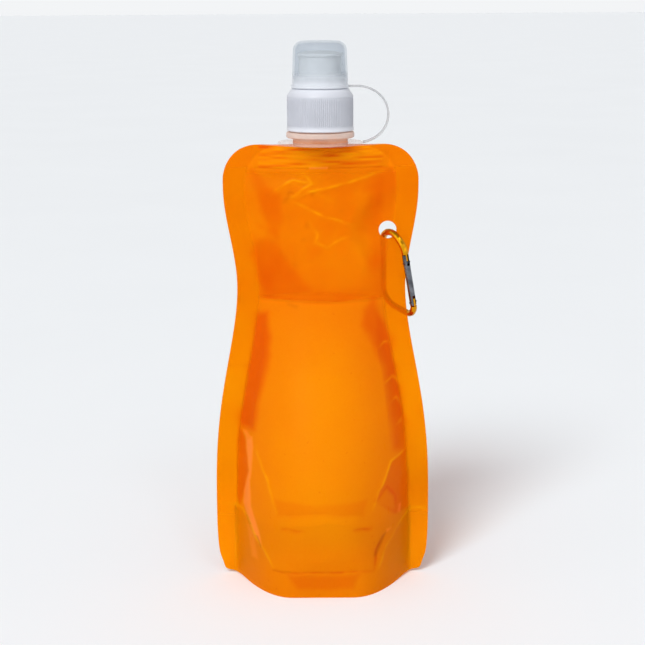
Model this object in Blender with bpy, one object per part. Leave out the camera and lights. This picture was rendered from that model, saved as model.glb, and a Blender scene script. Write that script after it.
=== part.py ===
"""Folding water bottle: a flat film pouch with a stand-up base, a welded spout,
a screw-on push-pull cap with a tethered dust cover, and a snap carabiner.

Frame: metres, +Z up, the pouch faces -Y, origin at the middle of the base rim.
Every moving piece has its origin on its own joint's axis.
"""
import math

import bmesh
import bpy
from mathutils import Matrix, Vector

MM = 0.001

# ---- fits shared by everything ----
GAP = 0.3 * MM                      # clearance between pieces that touch
RING_STEPS = 30                     # facets round the turned pieces

# ---- pouch outline ----
HIP_HALF_WIDTH = 52.0 * MM          # widest, near the base
HIP_Z = 34.0 * MM
BASE_TUCK = 3.2 * MM                # each side turns in this much at the floor
WAIST_TUCK = 11.9 * MM
SHOULDER_TUCK = 5.9 * MM
FILM_TOP_Z = 211.5 * MM
SHOULDER_DROP = 19.5 * MM           # below the film's top edge
WAIST_DROP = 66.5 * MM
TOP_CORNER_RADIUS = 16.0 * MM
FLANK_POWER = 1.45                  # how late the flank turns in towards the waist
BASE_POWER = 3.0                    # how quickly the flank spreads above the floor

# ---- pouch thickness ----
FILM = 0.6 * MM
SIDE_SEAL = 9.5 * MM                # welded margin down each side
TOP_SEAL = 10.5 * MM                # welded band along the top
BASE_HALF_DEPTH = 33.3 * MM
TOP_HALF_DEPTH = 5.4 * MM
TAPER_Z = 99.0 * MM                 # height at which half of the base's depth is left
TAPER_POWER = 4.6
LENS_POWER = 2.2                    # section of the filled pouch: 1 - u ** power
RIM_SEAL = 5.3 * MM                 # flat corner where the free rim leaves the side welds
RIM_FLAT_HALF_WIDTH = 14.0 * MM     # straight front of the rim
RIM_POWER = 0.65

# ---- base gusset ----
HEM_HEIGHT = 12.5 * MM              # weld line across the front of the base
HEM_HALF_WIDTH = 24.0 * MM
GUSSET_FOLD_Z = 35.0 * MM           # where the gusset's fold meets the side welds
GUSSET_SAG_Z = 4.0 * MM             # lowest point of the gusset's floor
GUSSET_SAG_POWER = 2.2
GUSSET_FILM = 0.5 * MM
GUSSET_FOOT_Z = 0.8 * MM
GUSSET_CLEARANCE = 0.7 * MM         # from the skirts to the faces, both of them curved

# ---- fold across the middle ----
FOLD_DROP = 105.5 * MM              # below the film's top edge

# ---- hang hole ----
HOLE_TO_EDGE = 11.7 * MM            # from the hole's centre to the pouch's edge
HOLE_DROP = 39.9 * MM               # below the film's top edge
HOLE_PER_WIRE = 2.625               # radius of the hole over that of the carabiner's wire
HOLE_WELD = 3.8 * MM                # flat welded island round the hole
HOLE_WELD_FADE = 11.0 * MM          # distance over which the pouch swells again

# ---- spout ----
BOAT_HALF_LENGTH = 29.0 * MM
BOAT_HALF_DEPTH = 5.0 * MM
BOAT_TIP_LENGTH = 1.5 * MM          # the lens outline is cut this far from its points
BOAT_WALL = 1.3 * MM
BOAT_STEP = 0.1 * MM                # the boat runs this far up into the neck
NECK_HEIGHT = 3.5 * MM              # plain neck between the weld and the collar
NECK_STEP = 0.45 * MM               # plain neck beyond the threaded part
NECK_WALL = 2.2 * MM
COLLAR_HEIGHT = 2.7 * MM
COLLAR_LIP = 0.45 * MM              # collar beyond the closure's skirt
FINISH_RADIUS = 12.4 * MM           # threaded part of the neck
FINISH_HEIGHT = 16.6 * MM
THREAD_PITCH = 3.2 * MM
THREAD_DEPTH = 1.2 * MM
THREAD_CLEARANCE = 0.4 * MM
THREAD_ROOT = 1.3 * MM
THREAD_CREST = 0.7 * MM
THREAD_BURY = 0.3 * MM              # how far a ridge runs into its wall
THREAD_STEPS = 20                   # facets in one turn of a ridge
NECK_THREAD_START = 7.0 * MM        # above the collar
NECK_THREAD_TURNS = 1.5
CAP_THREAD_TURNS = 1.25

# ---- tether ----
RING_WIDTH = 6.65 * MM
RING_THICKNESS = 1.2 * MM
STRAP_THICKNESS = 1.1 * MM
STRAP_WIDTH = 3.6 * MM
STRAP_OVERHANG = 12.0 * MM          # furthest point of the strap beyond the ring
STRAP_START = 4.0 * MM              # straight run beside the cover

# ---- closure ----
SKIRT_WALL = 1.45 * MM
SKIRT_CLEARANCE = 0.5 * MM          # bottom edge above the collar
SHOULDER_WIDTH = 2.35 * MM
SHOULDER_HEIGHT = 3.5 * MM
LINER_THICKNESS = 1.0 * MM
LINER_WIDTH = 8.0 * MM
DECK_THICKNESS = 1.8 * MM
COVER_SEAT = 1.25 * MM              # ledge that the dust cover stands on
BOSS_HEIGHT = 3.2 * MM              # snap boss that the dust cover grips
CHIMNEY_WALL = 1.2 * MM
CHIMNEY_HEIGHT = 8.5 * MM           # tube that the nozzle slides on, above the boss
POST_RADIUS = 2.0 * MM              # valve post that plugs the nozzle
POST_TAPER_HEIGHT = 4.0 * MM
SPOKE_WIDTH = 1.4 * MM
SPOKE_COUNT = 3

# ---- nozzle ----
NOZZLE_FOOT_STEP = 0.85 * MM        # foot inside the boss's edge
NOZZLE_FOOT_WIDTH = 1.15 * MM
NOZZLE_FOOT_HEIGHT = 1.7 * MM
NOZZLE_LIP_WIDTH = 0.75 * MM
NOZZLE_LIP_HEIGHT = 1.1 * MM
NOZZLE_WALL = 2.15 * MM
NOZZLE_HEIGHT = 12.4 * MM           # foot to the rim of its dome
NOZZLE_DOME = 1.3 * MM
NOZZLE_ROOF = 1.4 * MM
NOZZLE_TRAVEL = 3.5 * MM            # room under the dust cover's roof

# ---- dust cover ----
COVER_TAPER = 0.65 * MM
COVER_WALL = 1.0 * MM
COVER_EDGE_RADIUS = 4.4 * MM
COVER_BEAD = 0.35 * MM

# ---- carabiner, drawn in its own plane: u across from the spine, v up ----
WIRE_RADIUS = 1.6 * MM
SPINE_HEIGHT = 39.7 * MM
FOOT_WIDTH = 20.9 * MM
HEAD_WIDTH = 15.1 * MM
NOSE_V = 31.6 * MM                  # where the wire ends above the gate
HEAD_FILLET = 6.1 * MM
HEAD_ARC_END = math.radians(62.0)       # where the head's round eases into the nose
SPINE_FILLET = 7.7 * MM
FOOT_FILLET = 4.8 * MM
GATE_WALL = 0.65 * MM
TONGUE_THICKNESS = 1.1 * MM
TONGUE_LENGTH = 3.4 * MM
PIN_RADIUS = 0.65 * MM
PIN_CLEARANCE = 0.15 * MM
PIN_STAND = 0.25 * MM               # each end of a pin beyond the gate
SPRING_CLEARANCE = 0.2 * MM
SPRING_WIRE_RADIUS = 0.16 * MM
SPRING_TURNS = 6
RING_TILT = math.radians(52.0)      # of the ring's plane from the film's plane
WIRE_IN_HOLE = (-0.5 * MM, -1.2 * MM)   # where the wire crosses the hole, from its centre
HEAD_CROSSING = math.radians(120.0)     # on the head's arc, from +u
FOOT_CROSSING = math.radians(-34.0)     # on the foot's outer arc, from +u
FOOT_DROP = 37.6 * MM               # the wire passes the pouch's edge this far below the hole
EDGE_CLEARANCE = 1.3 * MM           # from the wire to that edge

# ---- pouch sizes that follow ----
BASE_HALF_WIDTH = HIP_HALF_WIDTH - BASE_TUCK
WAIST_HALF_WIDTH = HIP_HALF_WIDTH - WAIST_TUCK
SHOULDER_HALF_WIDTH = HIP_HALF_WIDTH - SHOULDER_TUCK
RIM_HALF_WIDTH = BASE_HALF_WIDTH - RIM_SEAL
WAIST_Z = FILM_TOP_Z - WAIST_DROP
SHOULDER_Z = FILM_TOP_Z - SHOULDER_DROP
FOLD_Z = FILM_TOP_Z - FOLD_DROP
HOLE_Z = FILM_TOP_Z - HOLE_DROP
HOLE_RADIUS = WIRE_RADIUS * HOLE_PER_WIRE
HOLE_WELD_RADIUS = HOLE_RADIUS + HOLE_WELD

# ---- radii that follow, from the neck's thread outwards and back in ----
NECK_RADIUS = FINISH_RADIUS + NECK_STEP
FINISH_BORE_RADIUS = FINISH_RADIUS - NECK_WALL
BOAT_BORE_RADIUS = BOAT_HALF_DEPTH - BOAT_WALL
CAP_BORE_RADIUS = FINISH_RADIUS + THREAD_DEPTH + THREAD_CLEARANCE
SKIRT_RADIUS = CAP_BORE_RADIUS + SKIRT_WALL
COLLAR_RADIUS = SKIRT_RADIUS + COLLAR_LIP
SHOULDER_RADIUS = SKIRT_RADIUS - SHOULDER_WIDTH
BOSS_RADIUS = SHOULDER_RADIUS - COVER_SEAT
COVER_FOOT_RADIUS = BOSS_RADIUS + GAP + COVER_WALL
COVER_TOP_RADIUS = COVER_FOOT_RADIUS - COVER_TAPER
NOZZLE_FOOT_RADIUS = BOSS_RADIUS - NOZZLE_FOOT_STEP
NOZZLE_RADIUS = NOZZLE_FOOT_RADIUS - NOZZLE_FOOT_WIDTH
NOZZLE_LIP_RADIUS = NOZZLE_RADIUS + NOZZLE_LIP_WIDTH
CHIMNEY_RADIUS = NOZZLE_RADIUS - NOZZLE_WALL - GAP
RING_BORE_RADIUS = NECK_RADIUS + GAP
RING_OUTER_RADIUS = RING_BORE_RADIUS + RING_WIDTH
STRAP_REACH = RING_OUTER_RADIUS + STRAP_OVERHANG
GATE_BORE_RADIUS = WIRE_RADIUS - GATE_WALL
SPRING_RADIUS = GATE_BORE_RADIUS - SPRING_CLEARANCE - SPRING_WIRE_RADIUS

# ---- heights that follow ----
BOAT_TOP_Z = FILM_TOP_Z + GAP
BOAT_BOTTOM_Z = FILM_TOP_Z - TOP_SEAL
COLLAR_Z = BOAT_TOP_Z + NECK_HEIGHT
FINISH_Z = COLLAR_Z + COLLAR_HEIGHT
NECK_TOP_Z = FINISH_Z + FINISH_HEIGHT
LINER_Z = NECK_TOP_Z + GAP
DECK_Z = LINER_Z + LINER_THICKNESS + GAP
DECK_TOP_Z = DECK_Z + DECK_THICKNESS
BOSS_TOP_Z = DECK_TOP_Z + BOSS_HEIGHT
SKIRT_Z = FINISH_Z + SKIRT_CLEARANCE
NOZZLE_Z = BOSS_TOP_Z + GAP
NOZZLE_RIM_Z = NOZZLE_Z + NOZZLE_HEIGHT
NOZZLE_TOP_Z = NOZZLE_RIM_Z + NOZZLE_DOME
COVER_Z = DECK_TOP_Z + GAP
COVER_TOP_Z = NOZZLE_TOP_Z + NOZZLE_TRAVEL + COVER_WALL
RING_Z = BOAT_TOP_Z + BOAT_STEP + GAP

FRONT = -1
REAR = 1
FILM_COLUMNS = 20
LOWER_ROWS = 9
UPPER_ROWS = 13
Z_AXIS = Vector((0, 0, 1))


# ---------------------------------------------------------------- helpers

def ease(t):
    """Smooth step from 0 to 1."""
    t = min(max(t, 0.0), 1.0)
    return t * t * (3 - 2 * t)


def mix(a, b, t):
    return a + (b - a) * t


def material(name, colour, roughness, metallic=0.0, alpha=1.0):
    made = bpy.data.materials.new(name)
    made.use_nodes = True
    shader = made.node_tree.nodes["Principled BSDF"]
    shader.inputs["Base Color"].default_value = (*colour, 1.0)
    shader.inputs["Roughness"].default_value = roughness
    shader.inputs["Metallic"].default_value = metallic
    shader.inputs["Alpha"].default_value = alpha
    made.diffuse_color = (*colour, alpha)
    return made


def empty(name, place):
    """Marks a joint's axis."""
    mark = bpy.data.objects.new(name, None)
    mark.empty_display_size = 10 * MM
    mark.location = place
    bpy.context.collection.objects.link(mark)
    return mark


def solid(name, bm, skin, pivot=None):
    """Turns a bmesh in world coordinates into an object whose origin is its pivot."""
    bmesh.ops.remove_doubles(bm, verts=bm.verts, dist=1e-7)
    bmesh.ops.recalc_face_normals(bm, faces=bm.faces)
    if pivot is not None:
        bmesh.ops.translate(bm, verts=bm.verts, vec=-pivot.location)
    mesh = bpy.data.meshes.new(name)
    bm.to_mesh(mesh)
    bm.free()
    mesh.shade_smooth()
    mesh.set_sharp_from_angle(angle=math.radians(35))
    made = bpy.data.objects.new(name, mesh)
    bpy.context.collection.objects.link(made)
    if pivot is not None:
        made.parent = pivot
    if skin is not None:
        mesh.materials.append(skin)
    return made


def cutter(name, bm, pivot=None):
    """A shape that only cuts or joins others."""
    tool = solid(name, bm, None, pivot)
    tool.hide_render = True
    tool.display_type = "WIRE"
    return tool


def boolean(target, tool, operation):
    change = target.modifiers.new(tool.name, "BOOLEAN")
    change.operation = operation
    change.solver = "EXACT"
    change.object = tool


def turned(outline, steps=RING_STEPS, axis_x=0.0):
    """Closed outline of (radius, z) points turned once round +Z."""
    bm = bmesh.new()
    points = [bm.verts.new((axis_x + radius, 0, z)) for radius, z in outline]
    edges = []
    for index, point in enumerate(points):
        edges.append(bm.edges.new((points[index - 1], point)))
    bmesh.ops.spin(bm, geom=points + edges, cent=(axis_x, 0, 0), axis=(0, 0, 1),
                   angle=math.tau, steps=steps, use_merge=True)
    bmesh.ops.remove_doubles(bm, verts=bm.verts, dist=1e-7)
    bmesh.ops.dissolve_degenerate(bm, edges=bm.edges, dist=1e-8)
    return bm


def rod(start, end, radius, sides=16):
    """Closed cylinder between two points."""
    bm = bmesh.new()
    run = Vector(end) - Vector(start)
    place = Matrix.Translation((Vector(start) + Vector(end)) / 2)
    turn = Z_AXIS.rotation_difference(run).to_matrix().to_4x4()
    bmesh.ops.create_cone(bm, cap_ends=True, segments=sides, radius1=radius, radius2=radius,
                          depth=run.length, matrix=place @ turn)
    return bm


def block(size, matrix):
    bm = bmesh.new()
    scale = Matrix.Diagonal((*size, 1.0))
    bmesh.ops.create_cube(bm, size=1.0, matrix=matrix @ scale)
    return bm


def swept(path, sections):
    """Skins one ring of points per path point, and closes both ends."""
    bm = bmesh.new()
    rings = [[bm.verts.new(point) for point in section(place)] for place, section in zip(path, sections)]
    for low, high in zip(rings, rings[1:]):
        count = len(low)
        for index in range(count):
            after = (index + 1) % count
            bm.faces.new((low[index], low[after], high[after], high[index]))
    bm.faces.new(rings[0])
    bm.faces.new(rings[-1])
    return bm


def tube(path, radius, sides, side_axis):
    """Round wire along a path; side_axis is a direction that never runs along it."""
    def ring_at(index):
        before = path[max(index - 1, 0)]
        after = path[min(index + 1, len(path) - 1)]
        run = (after - before).normalized()
        across = side_axis.cross(run).normalized()
        up = run.cross(across)

        def section(place):
            angles = [math.tau * step / sides for step in range(sides)]
            return [place + radius * (math.cos(a) * across + math.sin(a) * up) for a in angles]
        return section
    return swept(path, [ring_at(index) for index in range(len(path))])


# ---------------------------------------------------------------- pouch shape

def half_width(z):
    """Outer edge of the pouch at a height."""
    corner_z = FILM_TOP_Z - TOP_CORNER_RADIUS
    if z < HIP_Z:
        spread = 1 - (1 - z / HIP_Z) ** BASE_POWER
        return mix(BASE_HALF_WIDTH, HIP_HALF_WIDTH, spread)
    if z < WAIST_Z:
        run = ((z - HIP_Z) / (WAIST_Z - HIP_Z)) ** FLANK_POWER
        return mix(HIP_HALF_WIDTH, WAIST_HALF_WIDTH, ease(run))
    if z < corner_z:
        return mix(WAIST_HALF_WIDTH, SHOULDER_HALF_WIDTH, ease((z - WAIST_Z) / (SHOULDER_Z - WAIST_Z)))
    rise = min(z - corner_z, TOP_CORNER_RADIUS)
    return SHOULDER_HALF_WIDTH - TOP_CORNER_RADIUS + math.sqrt(TOP_CORNER_RADIUS ** 2 - rise ** 2)


HOLE_X = half_width(HOLE_Z) - HOLE_TO_EDGE
FOOT_CROSSING_X = half_width(HOLE_Z - FOOT_DROP) + EDGE_CLEARANCE + WIRE_RADIUS


def cavity_half_width(z):
    """Inner edge of the side welds; near the floor it meets the free rim."""
    inside = half_width(z) - SIDE_SEAL
    return mix(RIM_HALF_WIDTH, inside, ease(z / HIP_Z))


def rim_share(x):
    """Plan of the base rim: an S curve from the side welds to the straight front."""
    run = (RIM_HALF_WIDTH - abs(x)) / (RIM_HALF_WIDTH - RIM_FLAT_HALF_WIDTH)
    run = min(max(run, 0.0), 1.0)
    return math.sin(math.pi / 2 * run ** RIM_POWER) ** 2


def lens_share(x, z):
    """Section of the swollen pouch."""
    share = min(abs(x) / cavity_half_width(z), 1.0)
    return 1 - share ** LENS_POWER


def boat_half_depth(x, half_length, half_depth):
    """Lens outline of the spout's weld."""
    return max(half_depth * (1 - (x / half_length) ** 2), 0.0)


def film_over_boat(x):
    """Inside of the film where it wraps the spout's weld."""
    return boat_half_depth(x, BOAT_HALF_LENGTH + 2 * BOAT_TIP_LENGTH, BOAT_HALF_DEPTH + GAP)


def half_depth(x, z):
    """Swell of one film away from the middle plane."""
    depth = mix(TOP_HALF_DEPTH, BASE_HALF_DEPTH, 1 / (1 + (z / TAPER_Z) ** TAPER_POWER))
    share = mix(rim_share(x), lens_share(x, z), ease(z / HIP_Z))
    swell = depth * share
    hole_distance = math.hypot(x - HOLE_X, z - HOLE_Z)
    swell *= ease((hole_distance - HOLE_WELD_RADIUS) / HOLE_WELD_FADE)
    to_seal = ease((z - BOAT_BOTTOM_Z + TOP_SEAL) / TOP_SEAL)
    return mix(swell, film_over_boat(x), to_seal)


def film_rows(low, high, rows, fine_top):
    """Heights of a film's rows, closer together towards a rounded top."""
    heights = []
    for row in range(rows + 1):
        share = row / rows
        if fine_top:
            share = math.sin(share * math.pi / 2) ** 1.15
        heights.append(mix(low, high, share))
    return heights


def film(name, side, heights, skin, pivot):
    """One closed sheet of film between its first and last height."""
    bm = bmesh.new()
    sheets = []
    for offset in (0.0, FILM):
        sheet = []
        for z in heights:
            row = []
            for column in range(FILM_COLUMNS + 1):
                x = (2 * column / FILM_COLUMNS - 1) * half_width(z)
                y = side * (GAP / 2 + half_depth(x, z) + offset)
                row.append(bm.verts.new((x, y, z)))
            sheet.append(row)
        sheets.append(sheet)
    for sheet in sheets:
        for low, high in zip(sheet, sheet[1:]):
            for index in range(FILM_COLUMNS):
                bm.faces.new((low[index], low[index + 1], high[index + 1], high[index]))
    borders = []
    for sheet in sheets:
        right = [row[-1] for row in sheet]
        left = [row[0] for row in reversed(sheet)]
        borders.append(sheet[0][:-1] + right[:-1] + sheet[-1][:0:-1] + left[:-1])
    count = len(borders[0])
    for index in range(count):
        after = (index + 1) % count
        bm.faces.new((borders[0][index], borders[0][after], borders[1][after], borders[1][index]))
    return solid(name, bm, skin, pivot)


def lower_heights():
    return film_rows(0.0, FOLD_Z - GAP / 2, LOWER_ROWS, False)


def upper_heights():
    return film_rows(FOLD_Z + GAP / 2, FILM_TOP_Z, UPPER_ROWS, True)


def punch_hang_hole(films):
    tool = cutter("hang_hole_cutter", rod((HOLE_X, -10 * MM, HOLE_Z), (HOLE_X, 10 * MM, HOLE_Z), HOLE_RADIUS, 28))
    for piece in films:
        boolean(piece, tool, "DIFFERENCE")


def gusset_weld_height(x):
    """Line along which the gusset is welded to the front and rear films."""
    run = (abs(x) - HEM_HALF_WIDTH) / (RIM_HALF_WIDTH - HEM_HALF_WIDTH)
    return mix(HEM_HEIGHT, GUSSET_FOLD_Z, min(max(run, 0.0), 1.0))


def gusset_fold_height(x):
    """Middle line of the gusset, pressed down by the water."""
    run = min(abs(x) / RIM_HALF_WIDTH, 1.0)
    return mix(GUSSET_SAG_Z, GUSSET_FOLD_Z, run ** GUSSET_SAG_POWER)


def base_gusset(skin, pivot):
    """Folded floor film: a skirt inside each face, joined by a sagging floor."""
    columns = [index for index in range(FILM_COLUMNS + 1)
               if abs(2 * index / FILM_COLUMNS - 1) * HIP_HALF_WIDTH < RIM_HALF_WIDTH - SIDE_SEAL / 3]
    skirt_rows = 3
    floor_rows = 6
    inset = GUSSET_CLEARANCE + GUSSET_FILM / 2
    bm = bmesh.new()
    grid = []
    for column in columns:
        share = 2 * column / FILM_COLUMNS - 1
        weld = gusset_weld_height(share * HIP_HALF_WIDTH)
        fold = gusset_fold_height(share * HIP_HALF_WIDTH)
        line = []
        for side in (FRONT, REAR):
            leg = []
            for row in range(skirt_rows + 1):
                z = mix(GUSSET_FOOT_Z, weld, row / skirt_rows)
                x = share * half_width(z)
                leg.append(Vector((x, side * (half_depth(x, z) + GAP / 2 - inset), z)))
            if side == REAR:
                leg.reverse()
            line.append(leg)
        reach = line[1][0].y
        x = line[0][-1].x
        floor = []
        for row in range(1, floor_rows):
            y = reach * (2 * row / floor_rows - 1)
            floor.append(Vector((x, y, mix(fold, weld, (y / reach) ** 2))))
        grid.append([bm.verts.new(point) for point in line[0] + floor + line[1]])
    for left, right in zip(grid, grid[1:]):
        for index in range(len(left) - 1):
            bm.faces.new((left[index], left[index + 1], right[index + 1], right[index]))
    made = solid("base_gusset", bm, skin, pivot)
    thicken = made.modifiers.new("film", "SOLIDIFY")
    thicken.thickness = GUSSET_FILM
    thicken.offset = 0.0
    return made


# ---------------------------------------------------------------- spout

def thread(root_radius, direction, start_z, turns):
    """Helical ridge; direction is +1 for outward and -1 for inward."""
    steps = int(round(turns * THREAD_STEPS))
    bm = bmesh.new()
    rings = []
    for step in range(steps + 1):
        angle = math.tau * turns * step / steps
        z = start_z + THREAD_PITCH * angle / math.tau
        fade = min(1.0, step / 4, (steps - step) / 4)
        depth = direction * mix(0.1 * MM, THREAD_DEPTH, fade)
        corners = [(root_radius - direction * THREAD_BURY, -THREAD_ROOT / 2), (root_radius, -THREAD_ROOT / 2),
                   (root_radius + depth, -THREAD_CREST / 2), (root_radius + depth, THREAD_CREST / 2),
                   (root_radius, THREAD_ROOT / 2), (root_radius - direction * THREAD_BURY, THREAD_ROOT / 2)]
        rings.append([bm.verts.new((r * math.cos(angle), r * math.sin(angle), z + h)) for r, h in corners])
    for low, high in zip(rings, rings[1:]):
        for index in range(len(low)):
            after = (index + 1) % len(low)
            bm.faces.new((low[index], low[after], high[after], high[index]))
    bm.faces.new(rings[0])
    bm.faces.new(rings[-1])
    return bm


def weld_boat():
    """Lens-shaped block that the two films are welded round."""
    steps = 10
    bm = bmesh.new()
    outline = []
    for side in (FRONT, REAR):
        for step in range(steps + 1):
            x = side * -BOAT_HALF_LENGTH * (1 - 2 * step / steps)
            y = side * boat_half_depth(x, BOAT_HALF_LENGTH + BOAT_TIP_LENGTH, BOAT_HALF_DEPTH)
            outline.append((x, y))
    low = bm.faces.new([bm.verts.new((x, y, BOAT_BOTTOM_Z + GAP)) for x, y in outline])
    grown = bmesh.ops.extrude_face_region(bm, geom=[low])
    top = [item for item in grown["geom"] if isinstance(item, bmesh.types.BMVert)]
    height = BOAT_TOP_Z + BOAT_STEP - BOAT_BOTTOM_Z - GAP
    bmesh.ops.translate(bm, verts=top, vec=(0, 0, height))
    return bm


def spout(skin, pivot):
    """Neck with collar and thread, on the weld boat, with one bore through both."""
    floor_z = COLLAR_Z + GAP
    outline = [(NECK_RADIUS, BOAT_TOP_Z), (NECK_RADIUS, COLLAR_Z), (COLLAR_RADIUS - 2 * GAP, COLLAR_Z),
               (COLLAR_RADIUS, COLLAR_Z + 2 * GAP), (COLLAR_RADIUS, FINISH_Z - GAP),
               (COLLAR_RADIUS - GAP, FINISH_Z), (FINISH_RADIUS, FINISH_Z),
               (FINISH_RADIUS, NECK_TOP_Z - GAP), (FINISH_RADIUS - GAP, NECK_TOP_Z),
               (FINISH_BORE_RADIUS, NECK_TOP_Z), (FINISH_BORE_RADIUS, floor_z),
               (BOAT_BORE_RADIUS - GAP, floor_z - 3 * GAP), (BOAT_BORE_RADIUS - GAP, BOAT_TOP_Z)]
    made = solid("spout", turned(outline), skin, pivot)
    boolean(made, cutter("spout_boat_joiner", weld_boat(), pivot), "UNION")
    ridge = thread(FINISH_RADIUS, 1, FINISH_Z + NECK_THREAD_START, NECK_THREAD_TURNS)
    boolean(made, cutter("spout_thread_joiner", ridge, pivot), "UNION")
    bore = rod((0, 0, BOAT_BOTTOM_Z - 5 * MM), (0, 0, floor_z + 1 * MM), BOAT_BORE_RADIUS, 24)
    boolean(made, cutter("spout_bore_cutter", bore, pivot), "DIFFERENCE")
    return made


# ---------------------------------------------------------------- tether and dust cover

def retaining_ring(skin, pivot):
    top = RING_Z + RING_THICKNESS
    inner = RING_BORE_RADIUS
    outline = [(inner, RING_Z), (RING_OUTER_RADIUS - GAP, RING_Z), (RING_OUTER_RADIUS, RING_Z + GAP),
               (RING_OUTER_RADIUS, top - GAP), (RING_OUTER_RADIUS - GAP, top), (inner, top)]
    return solid("retaining_ring", turned(outline), skin, pivot)


def strap_path():
    """Half ellipse from the dust cover's rim round to the retaining ring."""
    low_z = RING_Z + RING_THICKNESS / 2
    high_z = COVER_Z + STRAP_THICKNESS / 2 + GAP / 2
    foot_x = RING_OUTER_RADIUS + GAP
    centre_x = COVER_FOOT_RADIUS + STRAP_START
    reach = STRAP_REACH - centre_x
    rise = (high_z - low_z) / 2
    foot_angle = -math.acos((foot_x - centre_x) / reach)
    steps = 20
    path = [Vector((COVER_FOOT_RADIUS + COVER_BEAD + GAP, 0, high_z))]
    for step in range(steps + 1):
        angle = mix(math.pi / 2, foot_angle, step / steps)
        path.append(Vector((centre_x + reach * math.cos(angle), 0, low_z + rise + rise * math.sin(angle))))
    path[-1].z = max(path[-1].z, low_z)
    return path


def tether_strap(skin, pivot):
    """Flat strap that keeps the cover with the bottle."""
    path = strap_path()
    across = Vector((0, STRAP_WIDTH / 2, 0))

    def section_at(index):
        before = path[max(index - 1, 0)]
        after = path[min(index + 1, len(path) - 1)]
        normal = (after - before).normalized().cross(Vector((0, 1, 0))) * STRAP_THICKNESS / 2
        return lambda place: [place - across - normal, place + across - normal,
                              place + across + normal, place - across + normal]
    sections = [section_at(index) for index in range(len(path))]
    return solid("tether_strap", swept(path, sections), skin, pivot)


def rounded_corner(radius, z, corner, steps=4):
    """Points of a quarter round from the top of a wall to its roof."""
    points = []
    for step in range(steps + 1):
        angle = math.pi / 2 * step / steps
        points.append((radius - corner + corner * math.cos(angle), z - corner + corner * math.sin(angle)))
    return points


def dust_cover(skin, pivot):
    """Thimble over the nozzle, open at the bottom, with a bead round its foot."""
    bead_z = COVER_Z + STRAP_THICKNESS + GAP
    inner_top = COVER_TOP_Z - COVER_WALL
    outline = [(COVER_FOOT_RADIUS + COVER_BEAD, COVER_Z), (COVER_FOOT_RADIUS + COVER_BEAD, bead_z - GAP),
               (COVER_FOOT_RADIUS, bead_z)]
    outline += rounded_corner(COVER_TOP_RADIUS, COVER_TOP_Z, COVER_EDGE_RADIUS)
    outline += [(0.0, COVER_TOP_Z + GAP), (0.0, inner_top + GAP)]
    inside = rounded_corner(COVER_TOP_RADIUS - COVER_WALL, inner_top, COVER_EDGE_RADIUS - COVER_WALL)
    outline += reversed(inside)
    outline += [(COVER_FOOT_RADIUS - COVER_WALL, COVER_Z)]
    return solid("dust_cover", turned(outline), skin, pivot)


# ---------------------------------------------------------------- closure

def closure_gasket(skin, pivot):
    outer = CAP_BORE_RADIUS - GAP
    inner = outer - LINER_WIDTH
    outline = [(inner, LINER_Z), (outer, LINER_Z), (outer, LINER_Z + LINER_THICKNESS),
               (inner, LINER_Z + LINER_THICKNESS)]
    return solid("closure_gasket", turned(outline), skin, pivot)


def valve_post():
    """Pointed post that shuts the nozzle's hole when the nozzle is down."""
    top = NOZZLE_TOP_Z - GAP
    outline = [(0.0, DECK_Z), (POST_RADIUS + GAP, DECK_Z), (POST_RADIUS, DECK_Z + POST_TAPER_HEIGHT),
               (POST_RADIUS, top - 2 * GAP), (POST_RADIUS - 2 * GAP, top), (0.0, top)]
    return turned(outline, 20)


def closure(skin, pivot):
    """Ribbed screw cap: skirt with a thread, deck, snap boss, guide chimney and post."""
    chimney_top = BOSS_TOP_Z + CHIMNEY_HEIGHT
    bore = CHIMNEY_RADIUS - CHIMNEY_WALL
    shoulder_z = DECK_TOP_Z - SHOULDER_HEIGHT
    outline = [(SKIRT_RADIUS - GAP, SKIRT_Z), (SKIRT_RADIUS, SKIRT_Z + GAP), (SKIRT_RADIUS, shoulder_z),
               (SKIRT_RADIUS - 2 * GAP, shoulder_z + 4 * GAP), (SHOULDER_RADIUS, DECK_TOP_Z),
               (BOSS_RADIUS, DECK_TOP_Z), (BOSS_RADIUS, BOSS_TOP_Z - GAP), (BOSS_RADIUS - GAP, BOSS_TOP_Z),
               (CHIMNEY_RADIUS, BOSS_TOP_Z), (CHIMNEY_RADIUS, chimney_top), (bore, chimney_top),
               (bore, DECK_Z), (CAP_BORE_RADIUS, DECK_Z), (CAP_BORE_RADIUS, SKIRT_Z)]
    made = solid("closure", turned(outline), skin, pivot)
    boolean(made, cutter("closure_post_joiner", valve_post(), pivot), "UNION")
    for spoke in range(SPOKE_COUNT):
        angle = math.tau * spoke / SPOKE_COUNT
        place = Matrix.Rotation(angle, 4, "Z") @ Matrix.Translation((bore / 2 + GAP, 0, DECK_Z + SPOKE_WIDTH / 2))
        arm = block((bore + GAP, SPOKE_WIDTH, SPOKE_WIDTH), place)
        boolean(made, cutter(f"closure_spoke_joiner_{spoke}", arm, pivot), "UNION")
    start = FINISH_Z + NECK_THREAD_START - THREAD_PITCH * 1.5
    ridge = thread(CAP_BORE_RADIUS, -1, start, CAP_THREAD_TURNS)
    boolean(made, cutter("closure_thread_joiner", ridge, pivot), "UNION")
    return made


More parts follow.
